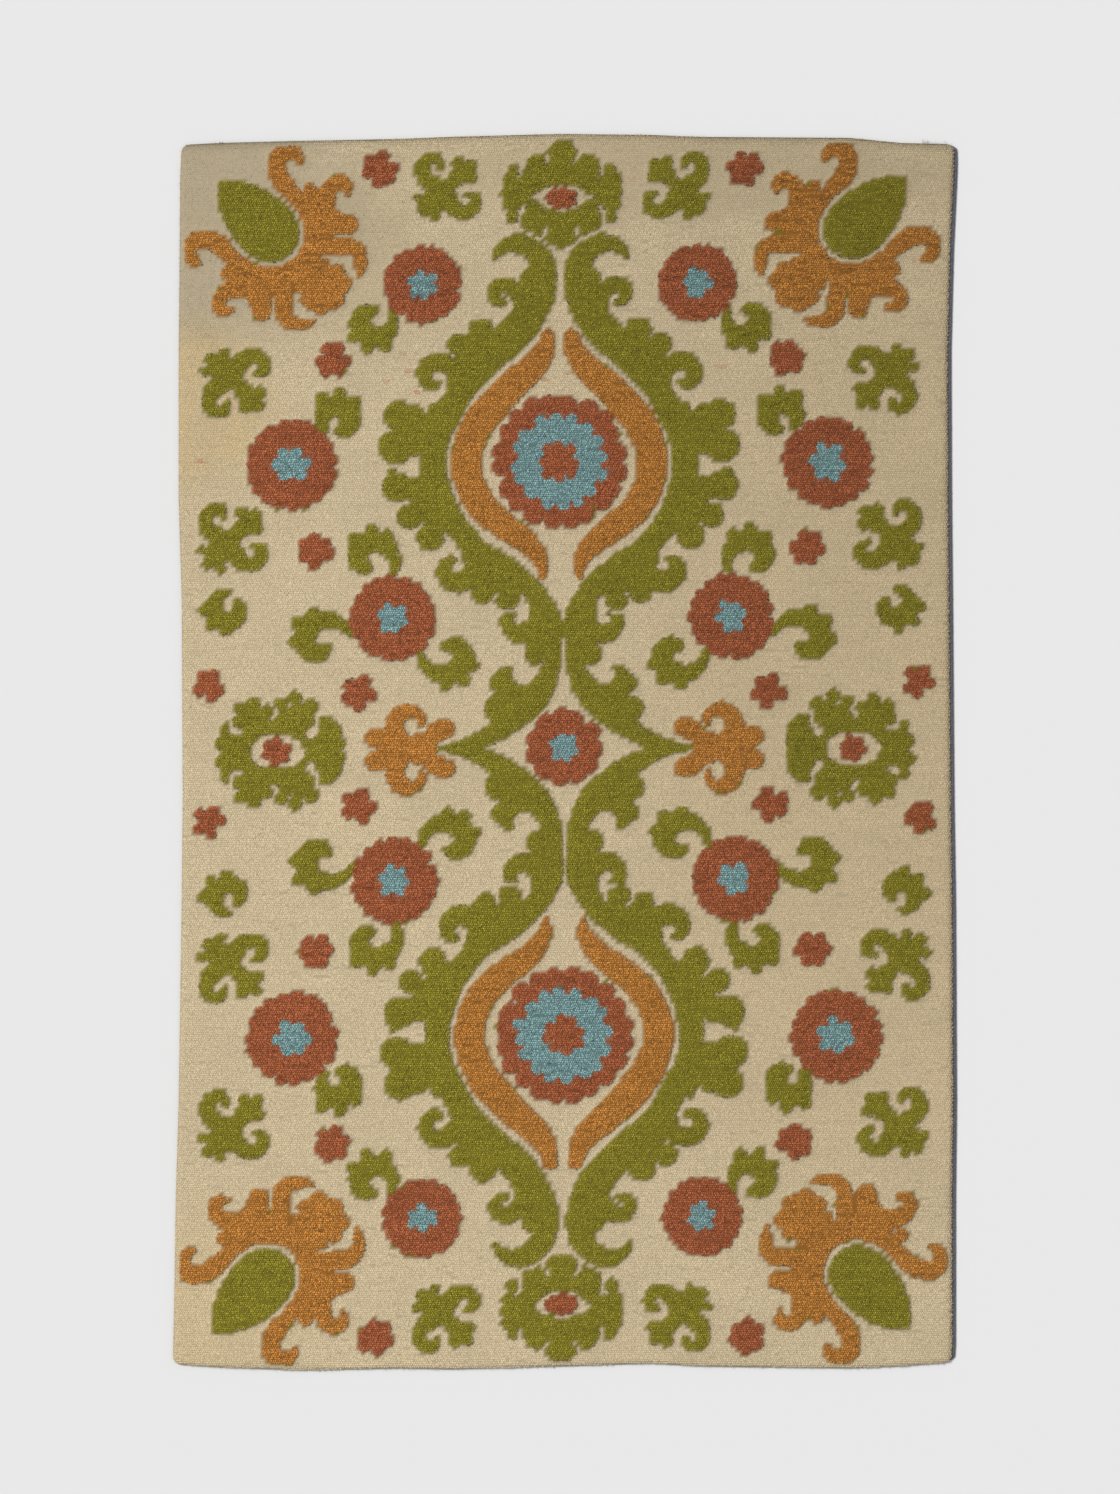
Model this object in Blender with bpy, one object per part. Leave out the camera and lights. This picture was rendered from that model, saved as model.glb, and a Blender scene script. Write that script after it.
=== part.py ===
"""Tufted wool rug, lying flat: one slab of pile with its cut-pile ornament raised, over a backing cloth.

The ornament is one quarter of hooked leaves, rosettes and florets, mirrored left and right, up and down.
Sizes are in millimetres. The rug's middle is the origin, x to the right, y to the top end, z up.
"""

from collections import defaultdict

import bmesh
import bpy
import numpy as np
from mathutils import Vector
from mathutils.geometry import delaunay_2d_cdt

MM = 0.001
SEED = 7

# The cloth and the pile, one above the other.
CLOTH_THICK = 1.6
LAYER_GAP = 0.3
GROUND_TOP = 8.4
RAISED_TOP = 12.6
RIM_ROUND = 3.6
RIM_MARGIN = 9.0
CORNER_RADIUS = 15.0
OUTLINE_STEP = 70.0
CORNER_POINTS = 5

# Edges of the pile: how far the left and right edge lie at each height.
SIDES = [  # y, left, right
    (-1237, -785, 775),
    (-1100, -782, 775),
    (-896, -779, 775),
    (-696, -773, 777),
    (-296, -767, 775),
    (-96, -765, 772),
    (304, -767, 769),
    (504, -773, 767),
    (804, -773, 766),
    (1004, -771, 771),
    (1154, -770, 778),
    (1237, -766, 780),
]
# How far the bottom and top edge lie at each width.
ENDS = [  # x, bottom, top
    (-785, -1225, 1214),
    (-690, -1231, 1219),
    (-530, -1237, 1223),
    (-330, -1233, 1227),
    (-230, -1235, 1231),
    (-10, -1229, 1237),
    (170, -1223, 1235),
    (270, -1229, 1231),
    (570, -1233, 1229),
    (670, -1229, 1219),
    (785, -1220, 1216),
]
# The cloth shows past the pile on the right side and stays under it elsewhere.
CLOTH_PAST_RIGHT = 7.0
CLOTH_INSET = 2.0

# How the hand-guided rows wander from a true mirror, all along the rug.
# The rise is how far they bow up at SIDE_REACH from the middle; the skew lifts the right side.
WANDER = [  # y, shift in x, shift in y, widening, rise at the sides
    (-1200, -8.0, 3.0, 0.015, -18),
    (-900, -5.5, 7.0, 0.013, -13),
    (-600, -2.0, 8.0, 0.009, -7),
    (-300, -1.0, 11.0, 0.003, -8),
    (0, -0.5, 9.0, 0.000, -6),
    (300, -7.0, 6.0, -0.004, -4),
    (600, -12.0, 6.0, -0.007, -3),
    (900, -10.5, 2.0, -0.006, -1),
    (1200, -5.0, -2.0, 0.000, 4),
]
SIDE_REACH = 640.0
SKEW = 0.0055

# Contours of the raised pile: grid they are found on, and how far a point may stray.
CONTOUR_GRID = 4.0
CONTOUR_SLACK = 4.7
STROKE_STEP = 6.0
LEAST_HALF_WIDTH = 2.5
SMALLEST_LOOP = 18.0

# Round flowers of one quarter.
ROSETTES = [  # x, y, radius, scallops
    (276, 935, 80, 19),
    (540, 573, 93, 19),
    (340, 264, 88, 19),
]
FLORETS = [  # x, y, radius, petals
    (366, 1167, 38, 6),
    (457, 784, 38, 6),
    (494, 402, 38, 6),
    (711, 137, 35, 5),
    (411, 114, 38, 5),
]
MEDALLION = (575, 137, 20)  # y, radius, scallops
MIDDLE_ROSETTE = (78, 11)  # radius, scallops

# Single leaves of one quarter.
FLEURONS = [  # x, y, heading of its top in degrees, size
    (237, 1125, 135, 0.94),
    (661, 749, 225, 0.97),
    (668, 421, 135, 0.97),
]
COMMAS = [  # x, y of its eye, direction of its stem, way round, reach of its stem, size
    (370, 864, 152, 1, 35, 1.0),
    (451, 658, -37, 1, 24, 1.0),
    (378, 382, 222, -1, 52, 1.0),
    (482, 222, 170, -1, 58, 1.02),
    (233, 186, 10, -1, 55, 1.0),
    (669, 294, 90, -1, 30, 0.9),
]

# The long vine of one quarter, its curls, its lobes and the crescent inside its bow.
TRUNK = [  # x, y, half width
    (46, 998, 20),
    (34, 965, 25),
    (40, 925, 32),
    (57, 893, 38),
    (72, 858, 34),
    (104, 822, 33),
    (150, 785, 36),
    (178, 760, 36),
    (200, 728, 32),
    (231, 674, 33),
    (248, 635, 30),
    (252, 591, 26),
    (249, 531, 27),
    (222, 462, 26),
    (190, 424, 23),
    (168, 388, 32),
    (120, 357, 33),
    (66, 312, 31),
    (36, 257, 33),
    (24, 206, 20),
    (24, 167, 18),
    (48, 114, 26),
    (98, 68, 30),
    (143, 30, 20),
    (190, 8, 15),
    (230, 2, 8),
    (256, 0, 4),
]
VINE_HOOKS = [  # root x, y, eye x, y, start, sweep, reach from, to, half width from, to
    (38, 940, 98, 968, 180, -152, 62, 40, 26, 5),
    (72, 921, 114, 911, 160, -280, 25, 13, 18, 6),
    (198, 761, 248, 747, 140, -265, 35, 14, 20, 7),
    (168, 352, 212, 366, 235, 215, 34, 13, 22, 5),
    (38, 240, 84, 266, 230, 200, 38, 14, 24, 6),
    (58, 104, 89, 148, 250, 145, 50, 21, 27, 6),
]
VINE_LOBES = [  # x, y, radius
    (62, 947, 20),
    (158, 839, 27),
    (203, 813, 23),
    (166, 814, 20),
    (324, 669, 31),
    (294, 663, 28),
    (330, 607, 34),
    (292, 621, 34),
    (328, 527, 31),
    (339, 557, 9),
    (292, 521, 26),
    (304, 467, 25),
    (261, 427, 28),
    (262, 491, 36),
    (262, 454, 16),
    (158, 313, 22),
    (110, 299, 22),
    (144, 339, 28),
    (54, 191, 23),
    (127, 131, 21),
    (133, 79, 27),
    (98, 96, 34),
]
# Where the two vines all but touch, their gap is under the pile's own spread and isn't cut.
WAIST = [(0, 150, 8), (0, 270, 8)]
# Pockets of ground pile under the curls of the vine and between its leaves.
VINE_SLITS = [  # each row x, y, half width
    [(101, 884, 6), (101, 898, 5), (108, 909, 5), (115, 912, 4)],
    [(247, 706, 9), (231, 732, 7), (237, 749, 7), (247, 748, 6)],
    [(207, 395, 9), (202, 381, 6), (207, 368, 7)],
    [(81, 305, 4), (77, 286, 9), (80, 263, 11), (90, 259, 7)],
    [(84, 280, 7), (100, 276, 4), (124, 275, 4)],
    [(0, 984, 8), (16, 1000, 5), (34, 1019, 4), (58, 1034, 4), (86, 1044, 4)],
]
CRESCENT = [  # x, y, half width
    (24, 828, 15),
    (32, 797, 20),
    (56, 764, 26),
    (96, 728, 30),
    (131, 692, 32),
    (164, 651, 32),
    (185, 597, 30),
    (187, 560, 30),
    (176, 520, 29),
    (153, 482, 29),
    (115, 449, 27),
    (70, 415, 23),
    (45, 385, 17),
    (37, 362, 11),
    (38, 345, 6),
]

# The corner's palmette, one half, in its own frame: y runs along its axis into the field.
CORNER = (602, 1058, 225)  # x, y, heading
CORNER_STROKES = [  # each row x, y, half width
    [(0, 130, 34), (36, 118, 34), (64, 82, 30), (82, 40, 22), (84, -2, 20), (93, -46, 19)],
    [(93, -46, 19), (113, -69, 18), (137, -68, 16), (148, -50, 13), (143, -33, 6)],
    [(92, 60, 30), (110, 62, 25), (143, 47, 17), (167, 47, 14), (176, 63, 13), (163, 80, 6)],
    [(90, 80, 30), (112, 112, 22), (122, 124, 20)],
    [(50, 110, 26), (70, 134, 20), (95, 160, 17), (96, 186, 14), (78, 204, 11), (62, 212, 6)],
]
CORNER_LOBES = [  # x, y, radius
    (116, 22, 15),
    (106, 92, 22),
    (0, 146, 42),
    (0, 176, 46),
    (40, 176, 17),
    (30, 200, 20),
    (0, 208, 23),
]
CORNER_SLITS = [[(40, 132, 3), (55, 151, 5), (62, 175, 7), (58, 202, 9)]]
# The almond inside the palmette, and the width of the groove round it.
ALMOND = [(0, -108, 11), (0, -70, 38), (0, -30, 56), (0, 8, 62), (0, 26, 58)]
GROOVE = 10.0

# The trefoil on the cross axis that the vine's point touches, upper half.
TREFOIL_STROKES = [  # each row x, y, half width
    [(355, 0, 24), (300, 0, 26), (268, 0, 14)],
    [(289, 14, 20), (249, 37, 20), (237, 40, 18)],
    [(339, 10, 24), (379, 24, 20)],
]
TREFOIL_HOOKS = [(325, 8, 307, 50, -20, 205, 34, 20, 20, 6)]  # columns as in VINE_HOOKS
TREFOIL_SLITS = [[(303, 56, 9), (299, 41, 7), (284, 38, 4), (271, 58, 3)]]

# The leafy wreath on the cross axis, upper half, and the one on the long axis, right half.
SIDE_WREATH = (574, 0)  # x, y
SIDE_WREATH_LOBES = [  # x, y, radius
    (-40, 65, 30),
    (-67, 90, 15),
    (-36, 106, 14),
    (-7, 94, 14),
    (-62, 68, 14),
    (52, 62, 28),
    (46, 97, 14),
    (74, 88, 13),
    (22, 82, 13),
    (80, 62, 13),
    (104, 48, 12),
    (112, 18, 15),
    (0, 52, 20),
]
SIDE_WREATH_STROKES = [  # each row x, y, half width
    [(-104, 16, 24), (-72, 20, 32), (-40, 50, 32), (0, 56, 22), (40, 52, 30), (64, 34, 34), (90, 16, 28)],
    [(-116, 14, 18), (-111, 44, 15), (-97, 56, 13), (-87, 57, 11)],
]
SIDE_WREATH_SLITS = [
    [(-47, 0, 2), (-20, 0, 30), (22, 0, 31), (54, 0, 2)],
    [(-74, 78, 3), (-78, 52, 5), (-66, 36, 11)],
    [(10, 98, 4), (4, 78, 5), (10, 68, 5)],
    [(74, 42, 5), (86, 43, 7), (94, 50, 4), (95, 66, 4)],
]
END_WREATH = (0, 1115)  # x, y
END_WREATH_LOBES = [  # x, y, radius
    (8, 93, 16),
    (22, 84, 12),
    (0, 66, 32),
    (50, 58, 24),
    (44, 70, 13),
    (66, 50, 12),
    (95, 50, 13),
    (106, 30, 14),
    (110, 6, 13),
    (106, -18, 13),
    (88, 8, 28),
    (98, -43, 14),
    (52, -45, 28),
    (66, -62, 13),
    (46, -76, 12),
    (0, -60, 30),
    (0, -82, 25),
    (20, -88, 12),
]
END_WREATH_STROKES = [[(0, 42, 22), (40, 34, 24), (76, 8, 26), (60, -26, 22), (30, -50, 22), (0, -58, 26)]]
END_WREATH_SLITS = [
    [(0, -5, 28), (25, -4, 20), (45, -3, 9), (58, -3, 2)],
    [(34, 84, 4), (28, 72, 4), (25, 66, 3)],
    [(84, 55, 4), (80, 42, 3)],
    [(82, -60, 5), (82, -40, 4), (77, -24, 3)],
    [(28, -66, 4), (34, -76, 4), (40, -90, 4)],
]
# The floret in the middle of each.
SIDE_FLORET = (576, 29, 6)  # x, radius, petals
END_FLORET = (1109, 36, 8, 0.60)  # y, radius, petals, height to width

# Colours of the two sub-parts, as linear RGB.
WOOL = (0.52, 0.41, 0.25)
CLOTH = (0.10, 0.10, 0.12)


# Strokes. A stroke is an array of x, y, half width.


def smooth(rows):
    """A curve through the rows, in even short steps (Catmull-Rom)."""
    rows = np.asarray(rows, float)
    ends = np.vstack([2 * rows[0] - rows[1], rows, 2 * rows[-1] - rows[-2]])
    path = []
    for p0, p1, p2, p3 in zip(ends, ends[1:], ends[2:], ends[3:]):
        count = max(1, int(np.ceil(np.hypot(*(p2 - p1)[:2]) / STROKE_STEP)))
        t = (np.arange(count) / count)[:, None]
        bend = (2 * p0 - 5 * p1 + 4 * p2 - p3) * t**2 + (3 * p1 - p0 - 3 * p2 + p3) * t**3
        path.append(0.5 * (2 * p1 + (p2 - p0) * t + bend))
    path = np.vstack(path + [rows[-1:]])
    path[:, 2] = np.maximum(path[:, 2], LEAST_HALF_WIDTH)
    return path


def dots(rows):
    """One round dot for each row of x, y, radius."""
    return [np.array([row], float) for row in rows]


def hook(row, points=8):
    """A stroke that leaves its root and winds round its eye, closer and thinner as it goes."""
    root, eye, (start, sweep) = row[0:2], row[2:4], row[4:6]
    (far, near), (wide, thin) = row[6:8], row[8:10]
    s = np.linspace(0, 1, points)
    angle = np.radians(start + sweep * s)
    away = far + (near - far) * s
    x = eye[0] + away * np.cos(angle)
    y = eye[1] + away * np.sin(angle)
    return smooth(np.vstack([[*root, wide], np.stack([x, y, wide + (thin - wide) * s**1.6], 1)]))


def both_sides(strokes):
    """The strokes and their mirror image across x = 0."""
    return strokes + [stroke * (-1, 1, 1) for stroke in strokes]


def quarters(strokes):
    """The strokes mirrored into all four quarters."""
    signs = [(1, 1, 1), (-1, 1, 1), (1, -1, 1), (-1, -1, 1)]
    return [stroke * sign for sign in signs for stroke in strokes]


def placed(strokes, x, y, heading=90.0, size=1.0):
    """Strokes drawn round 0, 0 with their top at +y, moved to x, y with the top at the heading."""
    turn = np.radians(heading - 90.0)
    c, s = np.cos(turn), np.sin(turn)
    moved = []
    for stroke in strokes:
        sx, sy, half = (stroke * size).T
        moved.append(np.stack([x + c * sx - s * sy, y + s * sx + c * sy, half], 1))
    return moved


def flower(rng, x, y, radius, petals, petal, uneven, squash=1.0):
    """A disc ringed by round petals; petal is their radius as a share of the flower's."""
    turn = np.radians(rng.uniform(0, 360) + 360 / petals * (np.arange(petals) + rng.normal(0, 0.09, petals)))
    size = petal * radius * (1 + rng.normal(0, 1.4 * uneven, petals))
    away = radius * (1 + rng.normal(0, uneven, petals)) - size
    ring = np.stack([x + away * np.cos(turn), y + squash * away * np.sin(turn), size * (1 + squash) / 2], 1)
    if squash == 1:
        heart = [(x, y, radius * (1 - 1.15 * petal))]
    else:
        heart = [(x + shift, y, 0.8 * squash * radius) for shift in (-12, 12)]
    return dots(heart) + [row[None] for row in ring]


def fleuron():
    """Two hooks that open to three lobes at the top, with three lobes at the foot."""
    arm = smooth([(18, -6, 20), (50, -9, 17), (70, 6, 15), (70, 27, 13), (57, 37, 11), (41, 30, 6)])
    half = [arm] + dots([(21, 62, 13.5), (27, -49, 10.5)])
    head = smooth([(0, 0, 22), (0, 25, 15), (0, 45, 20), (0, 62, 18)])
    foot = smooth([(0, 0, 24), (0, -30, 27)])
    return both_sides(half) + [head, foot] + dots([(0, 78, 13.5), (0, -58, 14)])


def comma(stem, way):
    """A leaf that swells from its thin stem and curls round its eye, with three lobes on its back."""
    s = np.linspace(0, 1, 12)
    angle = np.radians(285 * s)
    away = 34 + (stem - 34) * (1 - s) ** 4 - 15 * np.clip((s - 0.62) / 0.38, 0, 1) ** 1.5
    half = 6 + 16 * np.clip(s / 0.4, 0, 1) ** 0.8 - 12 * np.clip((s - 0.62) / 0.38, 0, 1) ** 2
    leaf = [smooth(np.stack([away * np.cos(angle), away * np.sin(angle), half], 1))]
    for turn, reach, radius in ((98, 55, 14), (135, 60, 12), (172, 55, 13)):
        c, s = reach * np.cos(np.radians(turn)), reach * np.sin(np.radians(turn))
        leaf.append(smooth([(0.8 * c, 0.8 * s, radius + 3), (c, s, radius)]))
    return [stroke * (1, way, 1) for stroke in leaf]


def round_flowers(rng):
    """Every rosette, medallion and floret."""
    strokes = []
    for side, end in ((1, 1), (-1, 1), (1, -1), (-1, -1)):
        for x, y, radius, scallops in ROSETTES:
            strokes += flower(rng, side * x, end * y, radius, scallops, 0.17, 0.012)
        for x, y, radius, petals in FLORETS:
            strokes += flower(rng, side * x, end * y, radius, petals, 0.36, 0.03)
    for sign in (1, -1):
        y, radius, scallops = MEDALLION
        strokes += flower(rng, 0, sign * y, radius, scallops, 0.15, 0.012)
        x, radius, petals = SIDE_FLORET
        strokes += flower(rng, sign * x, 0, radius, petals, 0.36, 0.05)
        y, radius, petals, squash = END_FLORET
        strokes += flower(rng, 0, sign * y, radius, petals, 0.30, 0.03, squash)
    return strokes + flower(rng, 0, 0, *MIDDLE_ROSETTE, 0.27, 0.02)


def drawn(table):
    """A smooth stroke for each entry of a table of strokes."""
    return [smooth(rows) for rows in table]


def leaves():
    """Every leaf, hook and wreath, for one quarter."""
    strokes = drawn([TRUNK, CRESCENT, WAIST] + TREFOIL_STROKES) + dots(VINE_LOBES)
    strokes += [hook(row) for row in VINE_HOOKS + TREFOIL_HOOKS]
    for x, y, heading, size in FLEURONS:
        strokes += placed(fleuron(), x, y, heading, size)
    for x, y, start, way, stem, size in COMMAS:
        strokes += placed(comma(stem, way), x, y, start + 90, size)
    strokes += placed(both_sides(drawn(CORNER_STROKES) + dots(CORNER_LOBES)), *CORNER)
    strokes += placed(dots(SIDE_WREATH_LOBES) + drawn(SIDE_WREATH_STROKES), *SIDE_WREATH)
    return strokes + placed(both_sides(dots(END_WREATH_LOBES) + drawn(END_WREATH_STROKES)), *END_WREATH)


def slits():
    """Every pocket of ground pile that is cut into the leaves, for one quarter."""
    strokes = drawn(VINE_SLITS + TREFOIL_SLITS)
    strokes += placed(both_sides(drawn(CORNER_SLITS)), *CORNER)
    strokes += placed(drawn(SIDE_WREATH_SLITS), *SIDE_WREATH)
    return strokes + placed(both_sides(drawn(END_WREATH_SLITS)), *END_WREATH)


def wandered(strokes):
    """The strokes with the drift of rows guided by hand."""
    table = np.array(WANDER, float)
    moved = []
    for x, y, half in (stroke.T for stroke in strokes):
        right, up, wider, rise = (np.interp(y, table[:, 0], table[:, k]) for k in (1, 2, 3, 4))
        lifted = y + up + SKEW * x + rise * (x / SIDE_REACH) ** 2
        moved.append(np.stack([(1 + wider) * x + right, lifted, half], 1))
    return moved


# Distance fields and their contours.


def inside_rim(x, y):
    """Distance in from the nearest edge of the pile."""
    sides, ends = np.array(SIDES, float), np.array(ENDS, float)
    left, right = (np.interp(y, sides[:, 0], sides[:, k]) for k in (1, 2))
    bottom, top = (np.interp(x, ends[:, 0], ends[:, k]) for k in (1, 2))
    return np.minimum(np.minimum(x - left, right - x), np.minimum(y - bottom, top - y))


def stroke_field(strokes, xs, ys):
    """Signed distance to the nearest stroke over a grid: below zero inside."""
    field = np.full((len(ys), len(xs)), 60.0)
    for stroke in strokes:
        pairs = zip(stroke, stroke[1:]) if len(stroke) > 1 else [(stroke[0], stroke[0] + (0.01, 0, 0))]
        for (x0, y0, r0), (x1, y1, r1) in pairs:
            reach = max(r0, r1) + 3 * CONTOUR_GRID
            i0, i1 = np.searchsorted(xs, (min(x0, x1) - reach, max(x0, x1) + reach))
            j0, j1 = np.searchsorted(ys, (min(y0, y1) - reach, max(y0, y1) + reach))
            gx, gy = xs[None, i0:i1], ys[j0:j1, None]
            dx, dy = x1 - x0, y1 - y0
            t = np.clip(((gx - x0) * dx + (gy - y0) * dy) / (dx * dx + dy * dy), 0, 1)
            away = np.hypot(gx - x0 - t * dx, gy - y0 - t * dy) - r0 - t * (r1 - r0)
            np.minimum(field[j0:j1, i0:i1], away, out=field[j0:j1, i0:i1])
    return field


def carved_field(xs, ys):
    """Signed distance of all the ornament: leaves less their slits and the groove round each almond."""
    body = stroke_field(wandered(quarters(leaves())), xs, ys)
    cut = stroke_field(wandered(quarters(slits())), xs, ys)
    almond = stroke_field(wandered(quarters(placed([smooth(ALMOND)], *CORNER))), xs, ys)
    flowers = stroke_field(wandered(round_flowers(np.random.default_rng(SEED))), xs, ys)
    body = np.maximum(np.maximum(body, -cut), GROOVE - almond)
    return np.minimum(np.minimum(body, almond), flowers)


def raised_field():
    """Grid and signed distance of the raised pile, kept clear of the rim."""
    xs = np.arange(SIDES[0][1], SIDES[-1][2] + CONTOUR_GRID, CONTOUR_GRID)
    ys = np.arange(-1240.0, 1240.0 + CONTOUR_GRID, CONTOUR_GRID)
    rim = RIM_MARGIN - inside_rim(xs[None, :] + 0 * ys[:, None], ys[:, None] + 0 * xs[None, :])
    return xs, ys, np.maximum(carved_field(xs, ys), rim)


def crossing_links(field):
    """Which cell sides the zero line crosses, each linked to the next along the line."""
    inside = field < 0
    count = inside[:-1, :-1].astype(int) + inside[:-1, 1:] + inside[1:, :-1] + inside[1:, 1:]
    links = defaultdict(list)
    for j, i in zip(*np.nonzero((count > 0) & (count < 4))):
        a, b = inside[j, i], inside[j, i + 1]
        c, d = inside[j + 1, i + 1], inside[j + 1, i]
        below, right, above, left = (0, j, i), (1, j, i + 1), (0, j + 1, i), (1, j, i)
        crossed = [side for side, cut in ((below, a != b), (right, b != c), (above, c != d), (left, d != a)) if cut]
        if len(crossed) == 4:
            middle = field[j : j + 2, i : i + 2].mean() < 0
            crossed = [below, right, above, left] if middle != a else [right, above, left, below]
        for first, second in zip(crossed[::2], crossed[1::2]):
            links[first].append(second)
            links[second].append(first)
    return links


def contour_loops(xs, ys, field):
    """Closed loops of points where the field is zero."""
    links = crossing_links(field)
    loops = []
    while links:
        start = next(iter(links))
        loop, here = [], start
        while here in links:
            loop.append(here)
            onward = [side for side in links.pop(here) if side in links]
            if not onward:
                break
            here = onward[0]
        points = []
        for upright, j, i in loop:
            a, b = field[j, i], field[j + upright, i + 1 - upright]
            t = CONTOUR_GRID * a / (a - b)
            points.append((xs[i] + (0 if upright else t), ys[j] + (t if upright else 0)))
        loops.append(with_raised_left(np.array(points), xs, ys, field))
    return loops


def with_raised_left(loop, xs, ys, field):
    """The loop in the direction that has the raised pile on its left."""
    along = np.roll(loop, -1, axis=0) - loop
    left = loop + along / 2 + along[:, ::-1] * (-1, 1) * CONTOUR_GRID / np.hypot(*along.T)[:, None]
    i = np.clip(np.rint((left[:, 0] - xs[0]) / CONTOUR_GRID).astype(int), 0, len(xs) - 1)
    j = np.clip(np.rint((left[:, 1] - ys[0]) / CONTOUR_GRID).astype(int), 0, len(ys) - 1)
    return loop if field[j, i].mean() < 0 else loop[::-1]


def turns_round(loops, points):
    """How often the loops wind round each point: above zero on the raised pile."""
    x, y = points[:, :1], points[:, 1:]
    turns = np.zeros(len(points), int)
    for loop in loops:
        (ax, ay), (bx, by) = loop.T, np.roll(loop, -1, axis=0).T
        side = (bx - ax) * (y - ay) - (x - ax) * (by - ay)
        turns += ((ay <= y) & (by > y) & (side > 0)).sum(axis=1)
        turns -= ((ay > y) & (by <= y) & (side < 0)).sum(axis=1)
    return turns


def far_points(points, first, last, slack, kept):
    """Keeps the points of a stretch that stray past the slack from its chord (Douglas-Peucker)."""
    if last - first < 2:
        return
    chord = points[last] - points[first]
    offset = points[first + 1 : last] - points[first]
    away = abs(chord[0] * offset[:, 1] - chord[1] * offset[:, 0]) / max(np.hypot(*chord), 1e-6)
    worst = int(away.argmax())
    if away[worst] > slack:
        middle = first + 1 + worst
        kept.add(middle)
        far_points(points, first, middle, slack, kept)
        far_points(points, middle, last, slack, kept)


def simplified(loop):
    """The loop with only the points that its shape needs."""
    opposite = int(np.hypot(*(loop - loop[0]).T).argmax())
    closed = np.vstack([loop, loop[:1]])
    kept = {0, opposite}
    far_points(closed, 0, opposite, CONTOUR_SLACK, kept)
    far_points(closed, opposite, len(loop), CONTOUR_SLACK, kept)
    return loop[sorted(kept)]


# Outlines and solids.


def outline(left, right, bottom, top):
    """The rug's outline anticlockwise, moved in by the four insets, with rounded corners."""
    sides, ends = np.array(SIDES, float), np.array(ENDS, float)
    r = CORNER_RADIUS

    def side_x(y, column, inset):
        return np.interp(y, sides[:, 0], sides[:, column]) + (inset if column == 1 else -inset)

    def end_y(x, column, inset):
        return np.interp(x, ends[:, 0], ends[:, column]) + (inset if column == 1 else -inset)

    centres = [
        (side_x(-1200, 1, left) + r, end_y(-760, 1, bottom) + r),
        (side_x(-1200, 2, right) - r, end_y(760, 1, bottom) + r),
        (side_x(1200, 2, right) - r, end_y(760, 2, top) - r),
        (side_x(1200, 1, left) + r, end_y(-760, 2, top) - r),
    ]
    runs = [
        lambda u: (u, end_y(u, 1, bottom)),
        lambda u: (side_x(u, 2, right), u),
        lambda u: (u, end_y(u, 2, top)),
        lambda u: (side_x(u, 1, left), u),
    ]
    points = []
    for corner, (cx, cy) in enumerate(centres):
        turn = np.radians(180 + 90 * corner + np.linspace(0, 90, CORNER_POINTS))
        points += list(zip(cx + r * np.cos(turn), cy + r * np.sin(turn)))
        along = corner % 2
        begin, finish = centres[corner][along], centres[(corner + 1) % 4][along]
        count = int(abs(finish - begin) / OUTLINE_STEP)
        for u in np.linspace(begin, finish, count + 1)[1:-1]:
            points.append(runs[corner](u))
    return np.array(points, float)


def triangulated(loops):
    """Points and triangles that fill the outermost loop and keep every loop's edges."""
    points, edges = [], []
    for loop in loops:
        first = len(points)
        points += [Vector(point) for point in loop]
        edges += [(first + k, first + (k + 1) % len(loop)) for k in range(len(loop))]
    found = delaunay_2d_cdt(points, edges, [], 1, 1e-4)
    return np.array([tuple(point) for point in found[0]]), np.array([tuple(face) for face in found[2]])


def add_solid(name, points, faces, colour, roughness):
    """A closed mesh object in metres, with its own material."""
    mesh = bpy.data.meshes.new(name)
    mesh.from_pydata([tuple(point) for point in np.asarray(points) * MM], [], faces)
    work = bmesh.new()
    work.from_mesh(mesh)
    bmesh.ops.delete(work, geom=[v for v in work.verts if not v.link_faces], context="VERTS")
    bmesh.ops.recalc_face_normals(work, faces=work.faces)
    work.to_mesh(mesh)
    work.free()
    material = bpy.data.materials.new(name)
    material.use_nodes = True
    shader = material.node_tree.nodes["Principled BSDF"]
    shader.inputs["Base Color"].default_value = (*colour, 1)
    shader.inputs["Roughness"].default_value = roughness
    shader.inputs["Metallic"].default_value = 0.0
    mesh.materials.append(material)
    part = bpy.data.objects.new(name, mesh)
    bpy.context.scene.collection.objects.link(part)
    return part


def ring_faces(first, second, count):
    """Quads between two rings of the same count."""
    return [(first + k, first + (k + 1) % count, second + (k + 1) % count, second + k) for k in range(count)]


def prism(loop, low, high):
    """Points and faces of a flat slab with this outline."""
    count = len(loop)
    points = [(x, y, z) for z in (low, high) for x, y in loop]
    flat, triangles = triangulated([loop])
    order = [int(np.hypot(*(loop - point).T).argmin()) for point in flat]
    caps = [tuple(order[k] + lift for k in triangle) for lift in (0, count) for triangle in triangles]
    return points, ring_faces(0, count, count) + caps


def edges_to_step(triangles, raised):
    """Edges between a low and a raised triangle. Where more than two meet, the point's whole fan is raised."""
    while True:
        by_edge = defaultdict(list)
        for triangle, up in zip(triangles, raised):
            for a, b in zip(triangle, np.roll(triangle, -1)):
                by_edge[min(a, b), max(a, b)].append(up)
        edges = [edge for edge, sides in by_edge.items() if len(sides) == 2 and sides[0] != sides[1]]
        point, met = np.unique(np.array(edges), return_counts=True)
        pinched = point[met > 2]
        if not len(pinched):
            return edges
        raised |= np.isin(triangles, pinched).any(axis=1)


def backing_cloth():
    """The cloth glued under the pile, a little past it on the right."""
    loop = outline(CLOTH_INSET, -CLOTH_PAST_RIGHT, CLOTH_INSET, CLOTH_INSET)
    return add_solid("backing_cloth", *prism(loop, 0.0, CLOTH_THICK), CLOTH, 0.9)


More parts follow.
